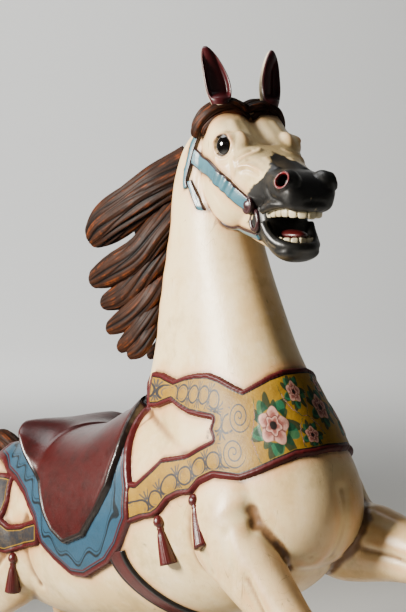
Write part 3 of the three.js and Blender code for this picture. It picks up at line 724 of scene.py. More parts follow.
def collar(tree):
    """The breast collar, with the measures that its painted chains and roses are drawn by."""
    outline = [(-1, 859)] + COLLAR_TOP + COLLAR_BOTTOM[::-1] + [(-1, 733)]
    base, towards, lift, fields, flat_path = bands(
        tree, 255, 0, 150, (552, 862), outline, COLLAR_WINDOW, 8, 2.2)
    u, z = fields["across"], fields["height"]
    points = np.stack([np.abs(u).ravel(), z.ravel()], 1)
    along, off, best = np.zeros(len(points)), np.full(len(points), 99.0), np.full(len(points), 1e9)
    for chain in CHAINS:
        path = spline(flat_path(chain), 60)
        total = np.linalg.norm(np.diff(path, axis=0), axis=1).sum()
        distance, where = path_distance(points, path)
        k = np.minimum((where * 60).astype(int), 59)
        way = path[k + 1] - path[k]
        offset = points - path[k]
        side = np.sign(way[:, 0] * offset[:, 1] - way[:, 1] * offset[:, 0])
        nearer = distance < best
        for field, values in ((along, where * total), (off, distance * side), (best, distance)):
            field[nearer] = values[nearer]
    fields["along"], fields["off"] = along.reshape(u.shape), off.reshape(u.shape)
    nearest, rose = np.full(u.shape, 1e9), [np.zeros(u.shape) for _ in range(3)]
    for angle, height, radius in ROSES:
        centre = flat_path([(abs(angle), height)])[0]
        du, dz = u - math.copysign(centre[0], angle), z - height
        closer = np.hypot(du, dz) / radius < nearest
        for field, value in zip(rose, (du / radius, dz / radius, np.full_like(u, angle))):
            field[closer] = value[closer]
        nearest = np.where(closer, np.hypot(du, dz) / radius, nearest)
    fields["rose_x"], fields["rose_y"], fields["rose_turn"] = rose
    # The two big roses stand out a little as carved bosses.
    lift = lift + 2.5 * np.clip(1 - nearest**2, 0, 1) ** 0.5 * (lift > 4) * (np.abs(np.abs(rose[2]) - 24) < 1)
    return sheet("collar", base, towards, lift, fields)


def rump_band(tree):
    outline = [(-1, 592)] + RUMP_TOP + [(150, 640)] + RUMP_BOTTOM[::-1] + [(-1, 486)]
    base, towards, lift, fields, _ = bands(
        tree, -250, 180, 126, (452, 640), outline, RUMP_WINDOW, 8, 2.6)
    return sheet("rump_band", base, towards, lift, fields)


def over_back(tree, hem, s_range, step, profile):
    """Blanket or saddle: a sheet over the back inside its hem."""
    degrees = np.linspace(0, 130, 261)
    arcs = arc_table(tree, around_trunk(np.full_like(degrees, -60.0), degrees))
    outline = [(s, float(np.interp(t, degrees, arcs))) for s, t in hem]
    ends = [(outline[-1][0], -60.0), (outline[0][0], -60.0)]

    def distance_of(s, w):
        return inside_distance(s, np.abs(w), outline + ends)
    s, w = np.meshgrid(
        np.arange(*s_range, step), np.arange(-arcs[-1], arcs[-1] + step, step), indexing="ij")
    s, w = snapped(s, w, distance_of, step * 0.62)
    angle = np.sign(w) * np.interp(np.abs(w), arcs, degrees)
    origins, towards = around_trunk(s, angle)
    base = blurred(cast(tree, origins, towards), 2)
    d = distance_of(s, w)
    fields = {"edge": d, "turn": angle, "across": w, "place": s}
    return base, towards, profile(d, s, angle), fields


def blanket(tree):
    def profile(d, s, angle):
        folds = 1.6 * np.sin(angle * 0.16 + s * 0.01) * smoothstep(np.abs(angle), 55, 80)
        body = 9 * rounded(d, 5) + folds * smoothstep(d, 0, 12)
        body -= 1.2 * np.exp(-((d - 13) / 1.6) ** 2)
        return np.where(d < 0, np.maximum(d * 3, -4), body)
    base, towards, lift, fields = over_back(tree, BLANKET_HEM, (-365, 165), 2.8, profile)
    return sheet("saddle_blanket", base, towards, lift, fields)


def saddle(tree):
    def profile(d, s, angle):
        cantle = smoothstep(-s, 140, 235) * (16 + 36 * np.minimum(np.abs(angle) / 28, 1.25) ** 2)
        pommel = 14 * smoothstep(s, 70, 108) * smoothstep(30 - np.abs(angle), 0, 26)
        dish = -4 * smoothstep(-s, -70, 30) * smoothstep(45 - np.abs(angle), 0, 40) * (s > -150)
        body = 18 * rounded(d, 9) + (cantle + pommel + dish) * smoothstep(d, 0, 14)
        body += 2.2 * np.exp(-((d - 6) / 4) ** 2) - 1.6 * np.exp(-((d - 13) / 1.8) ** 2)
        return np.where(d < 0, np.maximum(d * 3, -1), body)
    base, towards, lift, fields = over_back(tree, SADDLE_HEM, (-250, 135), 2.6, profile)
    return sheet("saddle", base, towards, lift, fields, skirt=14)


def girth(tree):
    """The strap that runs down from the collar's end and under the belly."""
    t, v = np.meshgrid(np.linspace(-1, 1, 281), np.linspace(-0.5, 0.5, 23), indexing="ij")
    angle = 180 + t * 72
    place = 80 + 110 * smoothstep(1 - np.abs(t), 0, 1) + v * 46
    origins, towards = around_trunk(place, angle)
    base = blurred(cast(tree, origins, towards), 2)
    d = (0.5 - np.abs(v)) * 46
    lift = 6.5 * rounded(d, 4) - 1.0 * np.exp(-((d - 9) / 1.4) ** 2)
    lift = np.where(d <= 0.01, -2.0, lift)
    return sheet("girth", base, towards, lift, {"edge": d}, cut=-3)


# ---- Bridle ----
CHEEKPIECE = [
    (-36, 38, -20), (-47, 60, -50), (-52, 69, -77), (-60, 78, -110), (-66, 79, -134), (-62, 78, -148)]
NOSE_STRAP = [
    (-53, 74, -92), (-20, 76, -106), (15, 75, -118), (55, 72, -140), (80, 60, -161), (100, 50, -177)]
JAW_STRAP = [
    (-57, 77, -136), (-40, 72, -168), (-15, 60, -205), (20, 48, -228), (70, 45, -236), (118, 40, -238)]
THROAT_STRAP = [
    (-44, 60, -46), (-66, 68, -74), (-82, 74, -104), (-82, 78, -126), (-66, 79, -146)]


def strap(name, trees, path, width, lift, side, blocks=()):
    """A carved strap laid over the head along rays from its middle line, with blocks raised on it."""
    path = [(x, -y if side > 0 else y, z) for x, y, z in path]
    rows = max(24, int(np.linalg.norm(np.diff(np.asarray(path, float), axis=0), axis=1).sum() / 2.2))
    curve = spline(path, rows)
    tangent = unit(np.gradient(curve, axis=0))
    centre = np.stack([0.8 * curve[:, 0], np.zeros(len(curve)), np.full(len(curve), -150.0)], 1)
    towards = unit(curve - centre)
    across = unit(np.cross(tangent, towards))
    v = np.linspace(-0.5, 0.5, max(11, int(width / 1.5)))
    origins = centre[:, None] + across[:, None] * (v * width)[None, :, None]
    ways = np.repeat(towards[:, None], len(v), 1)
    turn = head_to_row(ways) - HEAD_PIVOT
    start = head_to_row(origins)
    near, far = (np.sum((cast(t, start, turn, n) - start) * turn, 2) for t, n in zip(trees, (1, 12)))
    base = blurred(start + turn * np.where(near - far > 45, far + 16, near)[..., None], 4)
    d = np.repeat(((0.5 - np.abs(v)) * width)[None], len(curve), 0)
    height = lift * rounded(d, 2.5) - 0.8 * np.exp(-((d - 4.2) / 0.9) ** 2)
    height = np.where(d < 0.01, -1.0, height)
    along = np.repeat(np.linspace(0, 1, len(curve))[:, None], len(v), 1)
    for start, stop, more in blocks:
        starts = smoothstep(along, start - 0.006, start + 0.006)
        stops = smoothstep(-along, -stop - 0.006, 0.006 - stop)
        height = height + more * starts * stops
    return sheet(name, base, turn, height, {"edge": d, "along": along}, cut=-3, stretch=30)


def bridle(trees):
    pieces = []
    for side, tag in ((-1, "left"), (1, "right")):
        for name, path, width, lift in (
                ("throat_strap", THROAT_STRAP, 19, 3.0), ("nose_strap", NOSE_STRAP, 27, 4.5),
                ("jaw_strap", JAW_STRAP, 13, 4.0), ("cheekpiece", CHEEKPIECE, 14, 6.5)):
            blocks = ((0.52, 0.58, 2.6), (0.62, 0.67, 2.6), (0.72, 0.76, 1.6)) if name == "nose_strap" else ()
            pieces.append(strap(f"{name}_{tag}", trees, path, width, lift, side, blocks))
    return pieces


# ---- Locks of hair ----
def lock_mesh(name, path, radius, sides, count, flat, strands, seed, tip=0.4, blunt=0.62, twist=0.0, cut=0.2):
    """A flattened lock with V-cut strand grooves that run its length and close in a blunt end."""
    rng = np.random.default_rng(seed)
    centre = spline(path, count)
    along = unit(np.gradient(centre, axis=0))
    guide = np.array([0.0, 1.0, 0.0])
    t = np.linspace(0, 1, count + 1)
    wide = np.where(t < blunt, 1.0, 1 - (1 - tip) * ((t - blunt) / (1 - blunt)) ** 2)
    wide = wide * np.sqrt(np.clip(1 - ((t - 0.94) / 0.06).clip(0, 1) ** 2, 0.02, 1))
    angle = np.linspace(0, 2 * np.pi, sides, endpoint=False)
    rings, ridges, runs = [], [], []
    offsets = rng.uniform(-0.3, 0.3, strands)
    depths = rng.uniform(0.45, 1.0, strands)
    phases = rng.uniform(0, 6.28, (strands, 2))
    centres = (np.arange(strands) + 0.5 + offsets) / strands * 2 * np.pi
    for i in range(count + 1):
        across = guide - along[i] * (along[i] @ guide)
        across /= np.linalg.norm(across)
        over = np.cross(along[i], across)
        wander = 0.25 * math.sin(3.1 * t[i] + seed) + twist * t[i]
        groove = np.zeros(sides)
        for c, depth, (p0, p1) in zip(centres, depths, phases):
            drift = 0.10 * math.sin(5.0 * t[i] + p0) + 0.05 * math.sin(11 * t[i] + p1)
            gap = (angle - c - wander - drift + np.pi) % (2 * np.pi) - np.pi
            here = depth * (0.75 + 0.25 * math.sin(7 * t[i] + p1))
            groove = np.maximum(groove, here * np.exp(-(np.abs(gap) * strands / 2.6) ** 1.3))
        fine = 0.3 * np.sin(angle * strands * 2.0 + wander * 5 + seed) * (1 - groove)
        r = radius * wide[i] * (1 - cut * groove + 0.03 * fine)
        spoke = over * np.cos(angle)[:, None] + across * (flat * np.sin(angle))[:, None]
        rings.append(centre[i] + spoke * r[:, None])
        ridges.append(np.clip(1 - groove * 1.3 + fine * 0.6, 0, 1))
        runs.append(np.full(sides, t[i]))
    bm = bmesh.new()
    skin(bm, rings)
    obj = object_of(name, bm)
    extra = len(obj.data.vertices) - sides * (count + 1)
    set_attribute(obj.data, "ridge", np.concatenate([np.ravel(ridges), np.full(extra, 0.6)]))
    set_attribute(obj.data, "run", np.concatenate([np.ravel(runs), np.full(extra, 1.0)]))
    return obj


def mane():
    """The carved locks of the mane, each with a plainer one behind it that closes the gaps."""
    pieces = []
    for i, (path, radius) in enumerate(MANE):
        strands = int(radius * 0.42) + 4
        pieces.append(lock_mesh(f"mane_lock_{i + 1}", path, radius, strands * 8, 72 if radius > 30 else 56,
                                flat=0.62, tip=0.42, strands=strands, seed=i + 3))
        far = [(x, y * 0.3 + 14, z - 24 + 2 * k) for k, (x, y, z) in enumerate(path[:4])]
        pieces.append(lock_mesh(f"mane_far_lock_{i + 1}", far, radius * 0.8, 64, 44,
                                flat=0.62, strands=9, seed=i + 23))
    return pieces


def forelock():
    """Two rolls that part over the brow in front of the ears and curl down beside them."""
    pieces = []
    rolls = [
        # Radius and route from the parting.
        (14, [(2, -2, -24), (4, 14, -17), (2, 36, -15), (-4, 58, -22), (-16, 71, -36), (-30, 75, -52),
              (-40, 74, -64)]),
        (12, [(-12, 0, -16), (-12, 18, -9), (-14, 42, -10), (-22, 64, -22), (-34, 72, -40), (-44, 74, -56)]),
        (8, [(12, 2, -32), (12, 16, -27), (8, 38, -26), (1, 58, -35), (-12, 68, -48), (-22, 70, -60)])]
    for side, tag in ((-1, "right"), (1, "left")):
        for k, (radius, route) in enumerate(rolls):
            path = head_to_row([(x, y * side, z) for x, y, z in route])
            pieces.append(lock_mesh(f"forelock_{tag}_{k + 1}", path, radius, 80, 72, flat=0.9, tip=0.5,
                                    strands=10, seed=50 + 5 * k + side, twist=0.7, blunt=0.8, cut=0.3))
    return pieces


def tail():
    return [lock_mesh(f"tail_lock_{i + 1}", path, radius, 112, 110, flat=0.8, tip=0.35, strands=15,
                      seed=70 + i, twist=0.5) for i, (path, radius) in enumerate(TAIL)]


# ---- Ears, eyes, mouth ----
# Ears: middle line, then [place along, half width, half thickness].
EAR_LINE = [(0, 46, -22), (-4, 48, 6), (-10, 51, 34), (-18, 57, 62), (-27, 63, 87)]
EAR = [
    (0, 12, 10), (0.12, 16, 13), (0.25, 20.5, 16), (0.38, 22, 16), (0.52, 21, 14.5), (0.66, 18.5, 12.5),
    (0.79, 15, 10), (0.89, 11, 7.5), (0.96, 7, 5), (1, 3, 2.4)]
EAR_TURN = math.radians(18)
EAR_SIDES = 56


def ear(side, tag):
    """A pricked ear, hollowed towards the front, in one closed skin."""
    rows = spline(EAR, 54)
    places = np.clip(rows[:, 0] * 200, 0, 200).round().astype(int)
    line = spline([(x, y * side, z) for x, y, z in EAR_LINE], 200)[places]
    around = np.linspace(0, 2 * np.pi, EAR_SIDES, endpoint=False)
    c, n = math.cos(EAR_TURN), math.sin(EAR_TURN) * side
    rings, inside, rise = [], [], []
    for (t, half, thick), middle in zip(rows, line):
        x, y = thick * np.cos(around), half * np.sin(around)
        scoop = smoothstep(x / thick, -0.1, 0.9) * thick * 1.2 * smoothstep(t, 0.16, 0.3)
        scoop = scoop * (1 - smoothstep(t, 0.6, 1.0))
        x = x - scoop * smoothstep(1 - np.abs(y) / half, 0.03, 0.35)
        rings.append(middle + np.stack([x * c - y * n, x * n + y * c, np.zeros(EAR_SIDES)], 1))
        inside.append(smoothstep(np.cos(around), -0.05, 0.2))
        rise.append(np.full(EAR_SIDES, t))
    bm = bmesh.new()
    skin(bm, [head_to_row(r) for r in rings])
    obj = object_of(f"ear_{tag}", bm)
    extra = np.zeros(len(obj.data.vertices) - EAR_SIDES * len(rows))
    set_attribute(obj.data, "inside", np.concatenate([np.ravel(inside), extra]))
    set_attribute(obj.data, "rise", np.concatenate([np.ravel(rise), extra]))
    return obj


def eyeball(side, tag):
    """A glass eye, a millimetre larger than the solid one, so that its surface covers it."""
    bm = bmesh.new()
    skin(bm, head_to_row(ball(np.array(EYE_CENTRE) * [1, side, 1], [EYE_RADIUS + 1] * 3, 48)))
    return object_of(f"eyeball_{tag}", bm)


UPPER_TEETH = [
    (138, 33, -189), (160, 34, -187), (184, 31, -186), (202, 24, -187), (213, 12, -188), (216, 0, -189)]
LOWER_TEETH = [(140, 31, -228), (156, 30, -236), (172, 26, -239), (184, 14, -240), (188, 0, -240)]


def teeth():
    """Upper and lower rows of broad carved teeth with rounded edges."""
    bm = bmesh.new()
    for half_row, count, tall, up in ((UPPER_TEETH, 13, 11, -1), (LOWER_TEETH, 11, 9, 1)):
        row = [(x, -y, z) for x, y, z in half_row] + half_row[-2::-1]
        line = spline(row, 400)
        run = np.concatenate([[0], np.cumsum(np.linalg.norm(np.diff(line, axis=0), axis=1))])
        wide = run[-1] / count
        for i in range(count):
            k = int(np.searchsorted(run, (i + 0.5) * wide))
            way = line[min(k + 4, 400)] - line[max(k - 4, 0)]
            a = math.atan2(way[1], way[0])
            size = np.array([wide * 0.5, 4.2, tall * (1 - 0.18 * abs(i - (count - 1) / 2) / count * 2)])
            shape = signed_power(ball((0, 0, 0), (1, 1, 1), 18), 0.5) * size
            shape[..., 1] *= 1 - 0.2 * np.abs(shape[..., 2]) / tall
            skin(bm, head_to_row(spun(shape, a) + line[k] + [0, 0, up * 1.5]))
    return object_of("teeth", bm)


def tongue():
    bm = bmesh.new()
    skin(bm, head_to_row(ball((150, 0, -226), (44, 20, 9), 28)))
    return object_of("tongue", bm)


def turned(name, axis_from, axis_to, outline, sides=48):
    """A turned form on an axis: outline of [distance along, radius]."""
    a, b = np.asarray(axis_from, float), np.asarray(axis_to, float)
    way = (b - a) / np.linalg.norm(b - a)
    guide = np.array([0.0, 0.0, 1.0]) if abs(way[2]) < 0.9 else np.array([1.0, 0.0, 0.0])
    u = np.cross(way, guide)
    u /= np.linalg.norm(u)
    v = np.cross(way, u)
    angle = np.linspace(0, 2 * np.pi, sides, endpoint=False)
    circle = np.cos(angle)[:, None] * u + np.sin(angle)[:, None] * v
    rings = [a + way * d + circle * r for d, r in outline]
    bm = bmesh.new()
    skin(bm, rings)
    return object_of(name, bm)


# The rosette's outline, [height, radius], and the route of the ring that hangs from it.
ROSETTE = [
    (0, 14), (13, 15.5), (15.5, 15), (16.4, 13), (15.2, 11.5), (15.4, 8), (17.5, 6), (18.6, 3), (18.9, 0.5)]
BIT_RING = [
    (110, 41, -185), (120, 43, -192), (124, 43, -206), (116, 42, -218), (104, 42, -216), (99, 42, -203),
    (104, 41, -190)]
TASSEL_HEAD = 22.5  # length of the tassel's knot and collar


def bit(side, tag):
    """The carved rosette at the mouth, with the bit's ring hanging from it."""
    def placed(route):
        return [head_to_row([(x, y * side, z)])[0] for x, y, z in route]
    rosette = turned(f"bit_rosette_{tag}", *placed([(102, 38, -178), (102, 60, -178)]), ROSETTE)
    hoop = skinned(f"bit_ring_{tag}", [tube(placed(BIT_RING), 4.2, 16, 48)])
    return [rosette, hoop]


def tassel(k, side, knot, end, radius):
    """A turned knot over a skirt of strands, which are grooves cut down its length."""
    a, b = (np.array([x, y * side, z], float) for x, y, z in (knot, end))
    length = np.linalg.norm(b - a)
    outline = [
        (-3, 1), (-2, 5), (2, 8), (7, 10), (12, 9.5), (15, 7), (16.5, 5.6), (18.5, 6.6), (20.5, 6.6),
        (TASSEL_HEAD, 5.8)]
    outline += [(TASSEL_HEAD + (length - TASSEL_HEAD) * t, 6 + (radius - 5) * t**0.7)
                for t in (0.12, 0.3, 0.5, 0.75, 0.93, 1.0)]
    outline += [(length + 0.5, radius * 0.6), (length, 0.5)]
    obj = turned(f"tassel_{k}_{'left' if side > 0 else 'right'}", a, b, outline, 60)
    mesh = obj.data
    points = coordinates(mesh)
    way = (b - a) / length
    down = (points - a) @ way
    spoke = points - a - down[:, None] * way
    angle = np.arctan2(spoke @ np.cross(way, [1, 0, 0.1]), spoke @ [1, 0, 0.1])
    cut = 0.10 * np.abs(np.sin(angle * 11)) * smoothstep(down, 22, 27)
    set_coordinates(mesh, points - spoke * cut[:, None])
    set_attribute(mesh, "ridge", 1 - cut * 9)
    return obj


# ---- Plinth ----
BASE = {"length": 900, "width": 400, "corner": 70}
BASE_PROFILE = [
    # Height and how far in from the full outline, from the underside to the middle of the top.
    (0, 2), (2, 0), (17, 0), (19, 1.5), (20, 5), (22, 7), (26, 6), (31, 7), (36, 11), (40, 16), (43, 19.5),
    (45, 19.5), (46, 17), (48, 15), (52, 14.6), (55.5, 16), (58.5, 19), (60, 23), (60, 60), (60, 110),
    (60, 150)]


def plinth():
    """The low moulded plinth: one section run round a rectangle with round corners."""
    half_x, half_y, corner = BASE["length"] / 2, BASE["width"] / 2, BASE["corner"]
    rings = []
    for z, inset in BASE_PROFILE:
        r = max(corner - inset, 8)
        hx, hy = half_x - inset - r, half_y - inset - r
        ring = []
        for q, (sx, sy) in enumerate(((1, 1), (-1, 1), (-1, -1), (1, -1))):
            for a in np.linspace(q * math.pi / 2, (q + 1) * math.pi / 2, 13):
                ring.append((sx * hx + r * math.cos(a), sy * hy + r * math.sin(a), z))
        rings.append(np.array(ring))
    bm = bmesh.new()
    skin(bm, rings)
    return object_of("plinth_top", bm)


# ---- Materials ----
def linear(code):
    """An sRGB hex colour as linear RGBA."""
    parts = [int(code[i:i + 2], 16) / 255 for i in (1, 3, 5)]
    return tuple(c / 12.92 if c <= 0.04045 else ((c + 0.055) / 1.055) ** 2.4 for c in parts) + (1.0,)


def add_node(tree, kind, inputs=(), **settings):
    """Adds a shader node; inputs take wires or plain values."""
    node = tree.nodes.new("ShaderNode" + kind)
    for key, value in settings.items():
        setattr(node, key, value)
    for key, value in dict(inputs).items():
        if isinstance(value, Wire):
            tree.links.new(value.socket, node.inputs[key])
        else:
            node.inputs[key].default_value = value
    return node


class Wire:
    """A node's output, written in sums like a number."""

    def __init__(self, tree, socket):
        self.tree, self.socket = tree, socket

    def math(self, operation, *others, clamp=False):
        node = add_node(self.tree, "Math", enumerate((self,) + others), operation=operation, use_clamp=clamp)
        return Wire(self.tree, node.outputs[0])

    def __add__(self, other):
        return self.math("ADD", other)

    def __sub__(self, other):
        return self.math("SUBTRACT", other)

    def __mul__(self, other):
        return self.math("MULTIPLY", other)

    def __truediv__(self, other):
        return self.math("DIVIDE", other)

    def __rsub__(self, other):
        return self.math("MULTIPLY_ADD", -1.0, other)
    __radd__, __rmul__ = __add__, __mul__

    def step(self, low, high, inverse=False):
        """0 below low to 1 above high, or the other way round."""
        ends = {3: 1.0, 4: 0.0} if inverse else {3: 0.0, 4: 1.0}
        node = add_node(self.tree, "MapRange", {0: self, 1: low, 2: high, **ends},
                        interpolation_type="SMOOTHSTEP")
        return Wire(self.tree, node.outputs[0])

    def line(self, at, half, soft=0.5):
        """1 where the value is within half of a place."""
        return self.math("SUBTRACT", at).math("ABSOLUTE").step(half - soft, half + soft, inverse=True)


class Paint:
    """A painted surface being built up, coat over coat."""

    def __init__(self, name, base, roughness, coat=0.3, coat_roughness=0.25, specular=0.45):
        self.material = bpy.data.materials.new(name)
        self.material.use_nodes = True
        self.tree = self.material.node_tree
        self.tree.nodes.clear()
        self.colour, self.rough = linear(base), roughness
        self.coat, self.coat_roughness, self.specular, self.height = coat, coat_roughness, specular, None
        self.place = self.wire("TexCoord", output="Object")

    def wire(self, kind, inputs=(), output=0, **settings):
        return Wire(self.tree, add_node(self.tree, kind, inputs, **settings).outputs[output])

    def attribute(self, name):
        return self.wire("Attribute", attribute_name=name, output="Fac")

    def noise(self, size, detail=3.0, rough=0.5, stretch=(1, 1, 1), seed=0.0, warp=0.0):
        """Noise with blotches about size millimetres across."""
        mapping = self.wire("Mapping", {
            "Vector": self.place, "Scale": stretch, "Location": (seed, seed * 0.7, -seed)})
        return self.wire("TexNoise", {
            "Vector": mapping, "Scale": 1000 / size, "Detail": detail, "Roughness": rough,
            "Distortion": warp})

    def mix(self, share, colour):
        """Lays a share of a colour over what is there: input 0 is the share, 6 and 7 are the colours."""
        self.colour = self.wire("Mix", {0: share, 6: self.colour, 7: linear(colour)}, 2, data_type="RGBA")

    def bump(self, height, distance=1.0):
        """Fine relief, its depth in millimetres."""
        self.height = (height, distance)
        return self

    def done(self):
        shader = add_node(self.tree, "BsdfPrincipled", {
            "Base Color": self.colour, "Roughness": self.rough, "Coat Weight": self.coat,
            "Coat Roughness": self.coat_roughness, "Specular IOR Level": self.specular})
        if self.height:
            height, depth = self.height
            bump = add_node(self.tree, "Bump", {"Height": height, "Distance": depth * MM, "Strength": 1.0})
            self.tree.links.new(bump.outputs[0], shader.inputs["Normal"])
            self.tree.links.new(bump.outputs[0], shader.inputs["Coat Normal"])
        out = add_node(self.tree, "OutputMaterial")
        self.tree.links.new(shader.outputs[0], out.inputs[0])
        return self.material


def cream_paint():
    """Old ivory oil paint under yellowed varnish: warm blotches, brushed on wood, thin gloss."""
    p = Paint("old_ivory_oil_paint", "#e2cb9a", 0.38, coat=0.22, coat_roughness=0.28)
    p.mix(p.noise(130, 4, 0.6).step(0.42, 0.62) * 0.75, "#cdaf75")
    p.mix(p.noise(46, 5, 0.65, seed=3.1).step(0.5, 0.75) * 0.45, "#efe0c0")
    p.mix(p.noise(26, 6, 0.7, stretch=(1, 1, 0.35), seed=7.7).step(0.52, 0.8) * 0.4, "#bd9c62")
    p.mix(p.noise(5, 3, 0.6, stretch=(1, 1, 0.2), seed=1.9).step(0.58, 0.8) * 0.25, "#b3925a")
    p.mix(p.noise(80, 5, 0.65, seed=11.0).step(0.5, 0.7) * 0.5, "#a08a58")
    hollow = p.attribute("hollow")
    p.mix(p.attribute("blush") * (0.6 + 0.5 * p.noise(20, 4, 0.6, seed=5.0)), "#d58f58")
    # Dark brown in hollows and beside the tack's edges: partly dirt, partly painted shade.
    p.mix((hollow * (0.7 + 0.6 * p.noise(14, 4, 0.6, seed=2.0))).step(0.1, 1.0) * 0.85, "#4e3319")
    crack = p.noise(34, 2, 0.4, stretch=(1, 1, 0.25), seed=12.0, warp=1.2).line(0.5, 0.0025, 0.0025)
    p.mix(crack * p.noise(90, 2, 0.5, seed=13.0).step(0.52, 0.62) * 0.55, "#6b4a26")
    specks = p.noise(3.2, 2, 0.5, seed=9.0).step(0.74, 0.8)
    p.mix(specks * p.noise(60, 3, 0.5, seed=4.4).step(0.5, 0.7) * 0.6, "#5d4526")
    fray = (p.noise(7, 5, 0.75, stretch=(0.5, 1, 1), seed=6.0) - 0.5) * 0.7
    muzzle = p.attribute("muzzle") + fray + (p.noise(26, 2, 0.5, seed=16.0) - 0.5) * 1.6
    p.mix(muzzle.step(0.36, 0.62), "#0c0b0a")
    p.mix(muzzle.step(0.8, 1.0) * p.noise(22, 5, 0.7, seed=14.0).step(0.56, 0.72) * 0.5, "#2b2019")
    p.mix(p.attribute("nostril").step(0.35, 0.75) * 0.9, "#6a0d14")
    p.mix(p.attribute("lid").step(0.3, 0.8) * 0.9, "#25120a")
    p.mix(p.attribute("hoof").step(0.45, 0.55), "#1d1712")
    p.rough = 0.34 + 0.16 * p.noise(18, 4, 0.6, seed=8.0)
    grain = p.noise(3.5, 3, 0.6, stretch=(1, 1, 0.15), seed=1.0) * 0.5 + p.noise(12, 4, 0.6, seed=2.6) * 0.9
    return p.bump(grain, 0.35).done()


def hair_paint():
    """Dark brown gloss paint, with a painted orange highlight along the ridges of the cut strands and painted
    black shade in their grooves.
    """
    p = Paint("dark_brown_gloss_over_wood", "#22120a", 0.5, coat=0.0, coat_roughness=0.3, specular=0.12)
    ridge = p.attribute("ridge")
    patches = p.noise(28, 5, 0.65, seed=1.0)
    p.mix(p.noise(40, 4, 0.6, seed=3.0).step(0.35, 0.65) * 0.6, "#321a0c")
    # Painted highlight: orange along the strand ridges, in patches.
    p.mix(ridge.step(0.62, 1.0) * patches.step(0.45, 0.66) * 0.65, "#73360e")
    # Painted shade: near-black down the strand grooves.
    p.mix(ridge.step(0.1, 0.62, inverse=True) * 0.95, "#060404")
    p.rough = 0.44 + 0.2 * p.noise(12, 3, 0.6, seed=5.0)
    return p.bump(p.noise(2.2, 3, 0.6, seed=4.0), 0.3).done()


def collar_paint():
    """Ochre oil paint with dark-red rims, slate-blue chains and green-leaved roses, under varnish."""
    p = Paint("varnished_ochre_oil_paint", "#8c6a16", 0.5, coat=0.05, coat_roughness=0.3, specular=0.22)
    edge, turn = p.attribute("edge"), p.attribute("turn")
    p.mix(p.noise(22, 5, 0.65, seed=1.0).step(0.42, 0.7) * 0.6, "#6f4f14")
    p.mix(p.noise(7, 4, 0.7, seed=2.0).step(0.55, 0.75) * 0.4, "#b39136")
    wobble = (p.noise(16, 2, 0.5, seed=3.0) - 0.5) * 3.0
    along, off = p.attribute("along") + wobble, p.attribute("off") + wobble
    x, y = p.attribute("rose_x"), p.attribute("rose_y")
    r = (x * x + y * y).math("SQRT")
    petal = y.math("ARCTAN2", x)
    kind = p.attribute("rose_turn").math("ABSOLUTE").step(38, 39)
    spiral = kind * r.step(0.98, 1.04, inverse=True)
    # Oval links, with three-stroke sprigs between them.
    pitch = 46.0
    cell = ((along / pitch).math("FRACT") - 0.5) * pitch
    oval = ((cell / 21.0).math("POWER", 2.0) + (off / 14.0).math("POWER", 2.0)).math("SQRT")
    field = off.math("ABSOLUTE").step(30, 34, inverse=True) * edge.step(11, 13) * (1.0 - spiral)
    field = field * turn.math("ABSOLUTE").step(40, 44)
    p.mix(oval.line(1.0, 0.12, 0.04) * field * 0.95, "#181f2a")
    patches = p.noise(11, 2, 0.5, seed=5.0).step(0.45, 0.55)
    p.mix(oval.line(0.66, 0.05, 0.04) * patches * field * 0.7, "#333947")
    side = ((along / pitch).math("FRACT") - 0.5).math("SIGN")
    spoke = side * (pitch / 2 - cell.math("ABSOLUTE"))
    away = off.math("ABSOLUTE")
    for lean in (-0.55, 0.0, 0.55):
        stroke = (spoke - (away - 5.0) * lean).line(0.0, 1.6, 0.6)
        p.mix(stroke * away.step(6, 8) * away.step(21, 24, inverse=True) * field * 0.85, "#252d38")
    coil = ((r * 2.4 - petal / 6.2832 + 4.0).math("FRACT") - 0.5).line(0.0, 0.12, 0.05)
    p.mix(coil * spiral * edge.step(10, 12) * 0.95, "#181f2a")
    # Roses on a ground of dark leaves in front.
    front = (1.0 - kind) * turn.math("ABSOLUTE").step(37, 41, inverse=True) * edge.step(10, 12)
    leaves = ((7.0, 0.4, 1.85, "#0e2a1d"), (5.0, 1.9, 1.6, "#1d5a3d"), (9.0, 0.9, 1.4, "#123524"))
    for count, shift, reach, green in leaves:
        leaf = (petal * count + shift + r * 0.8).math("SINE") - (r - 1.0) * (1.7 / (reach - 1.0)) + 0.5
        ring = r.step(0.8, 0.9) * r.step(reach, reach + 0.08, inverse=True)
        p.mix(leaf.step(-0.1, 0.12) * front * ring * 0.9, green)
    ruffle = (petal * 5.0 + 0.6).math("SINE")
    outer = r - (0.86 + 0.13 * ruffle)
    bloom = outer.step(-0.04, 0.04, inverse=True) * front
    smear = p.noise(9, 4, 0.7, seed=7.0)
    p.mix(bloom, "#7d4840")
    p.mix((outer + (smear - 0.5) * 0.5).step(-0.42, -0.06) * bloom * 0.85, "#bd8f80")
    inner = r - (0.46 + 0.08 * (petal * 5.0 + 2.6).math("SINE"))
    p.mix(inner.line(0.0, 0.035, 0.03) * bloom * 0.8, "#45191a")
    lit = (inner + (smear - 0.5) * 0.3).step(-0.22, -0.02) * inner.step(-0.03, 0.0, inverse=True)
    p.mix(lit * bloom * 0.7, "#c39c8c")
    p.mix(ruffle.step(-1.0, -0.82, inverse=True) * outer.step(-0.5, -0.1) * bloom * 0.8, "#4b1d1b")
    p.mix((r + (smear - 0.5) * 0.1).step(0.18, 0.27, inverse=True) * front, "#140b09")
    p.mix(edge.line(9.2, 1.3, 0.4), "#0a0808")
    p.mix(edge.step(8.0, 9.0, inverse=True), "#430a0c")
    p.mix(edge.step(8.0, 9.0, inverse=True) * p.noise(18, 4, 0.7, seed=8.0).step(0.5, 0.7) * 0.7, "#300809")
    p.mix(edge.step(-1.0, 0.6, inverse=True) * 0.8, "#1d0807")
    p.mix(p.noise(16, 5, 0.7, seed=9.0).step(0.55, 0.85) * 0.5, "#241808")
    return p.bump(p.noise(4, 3, 0.6, seed=4.0), 0.4).done()


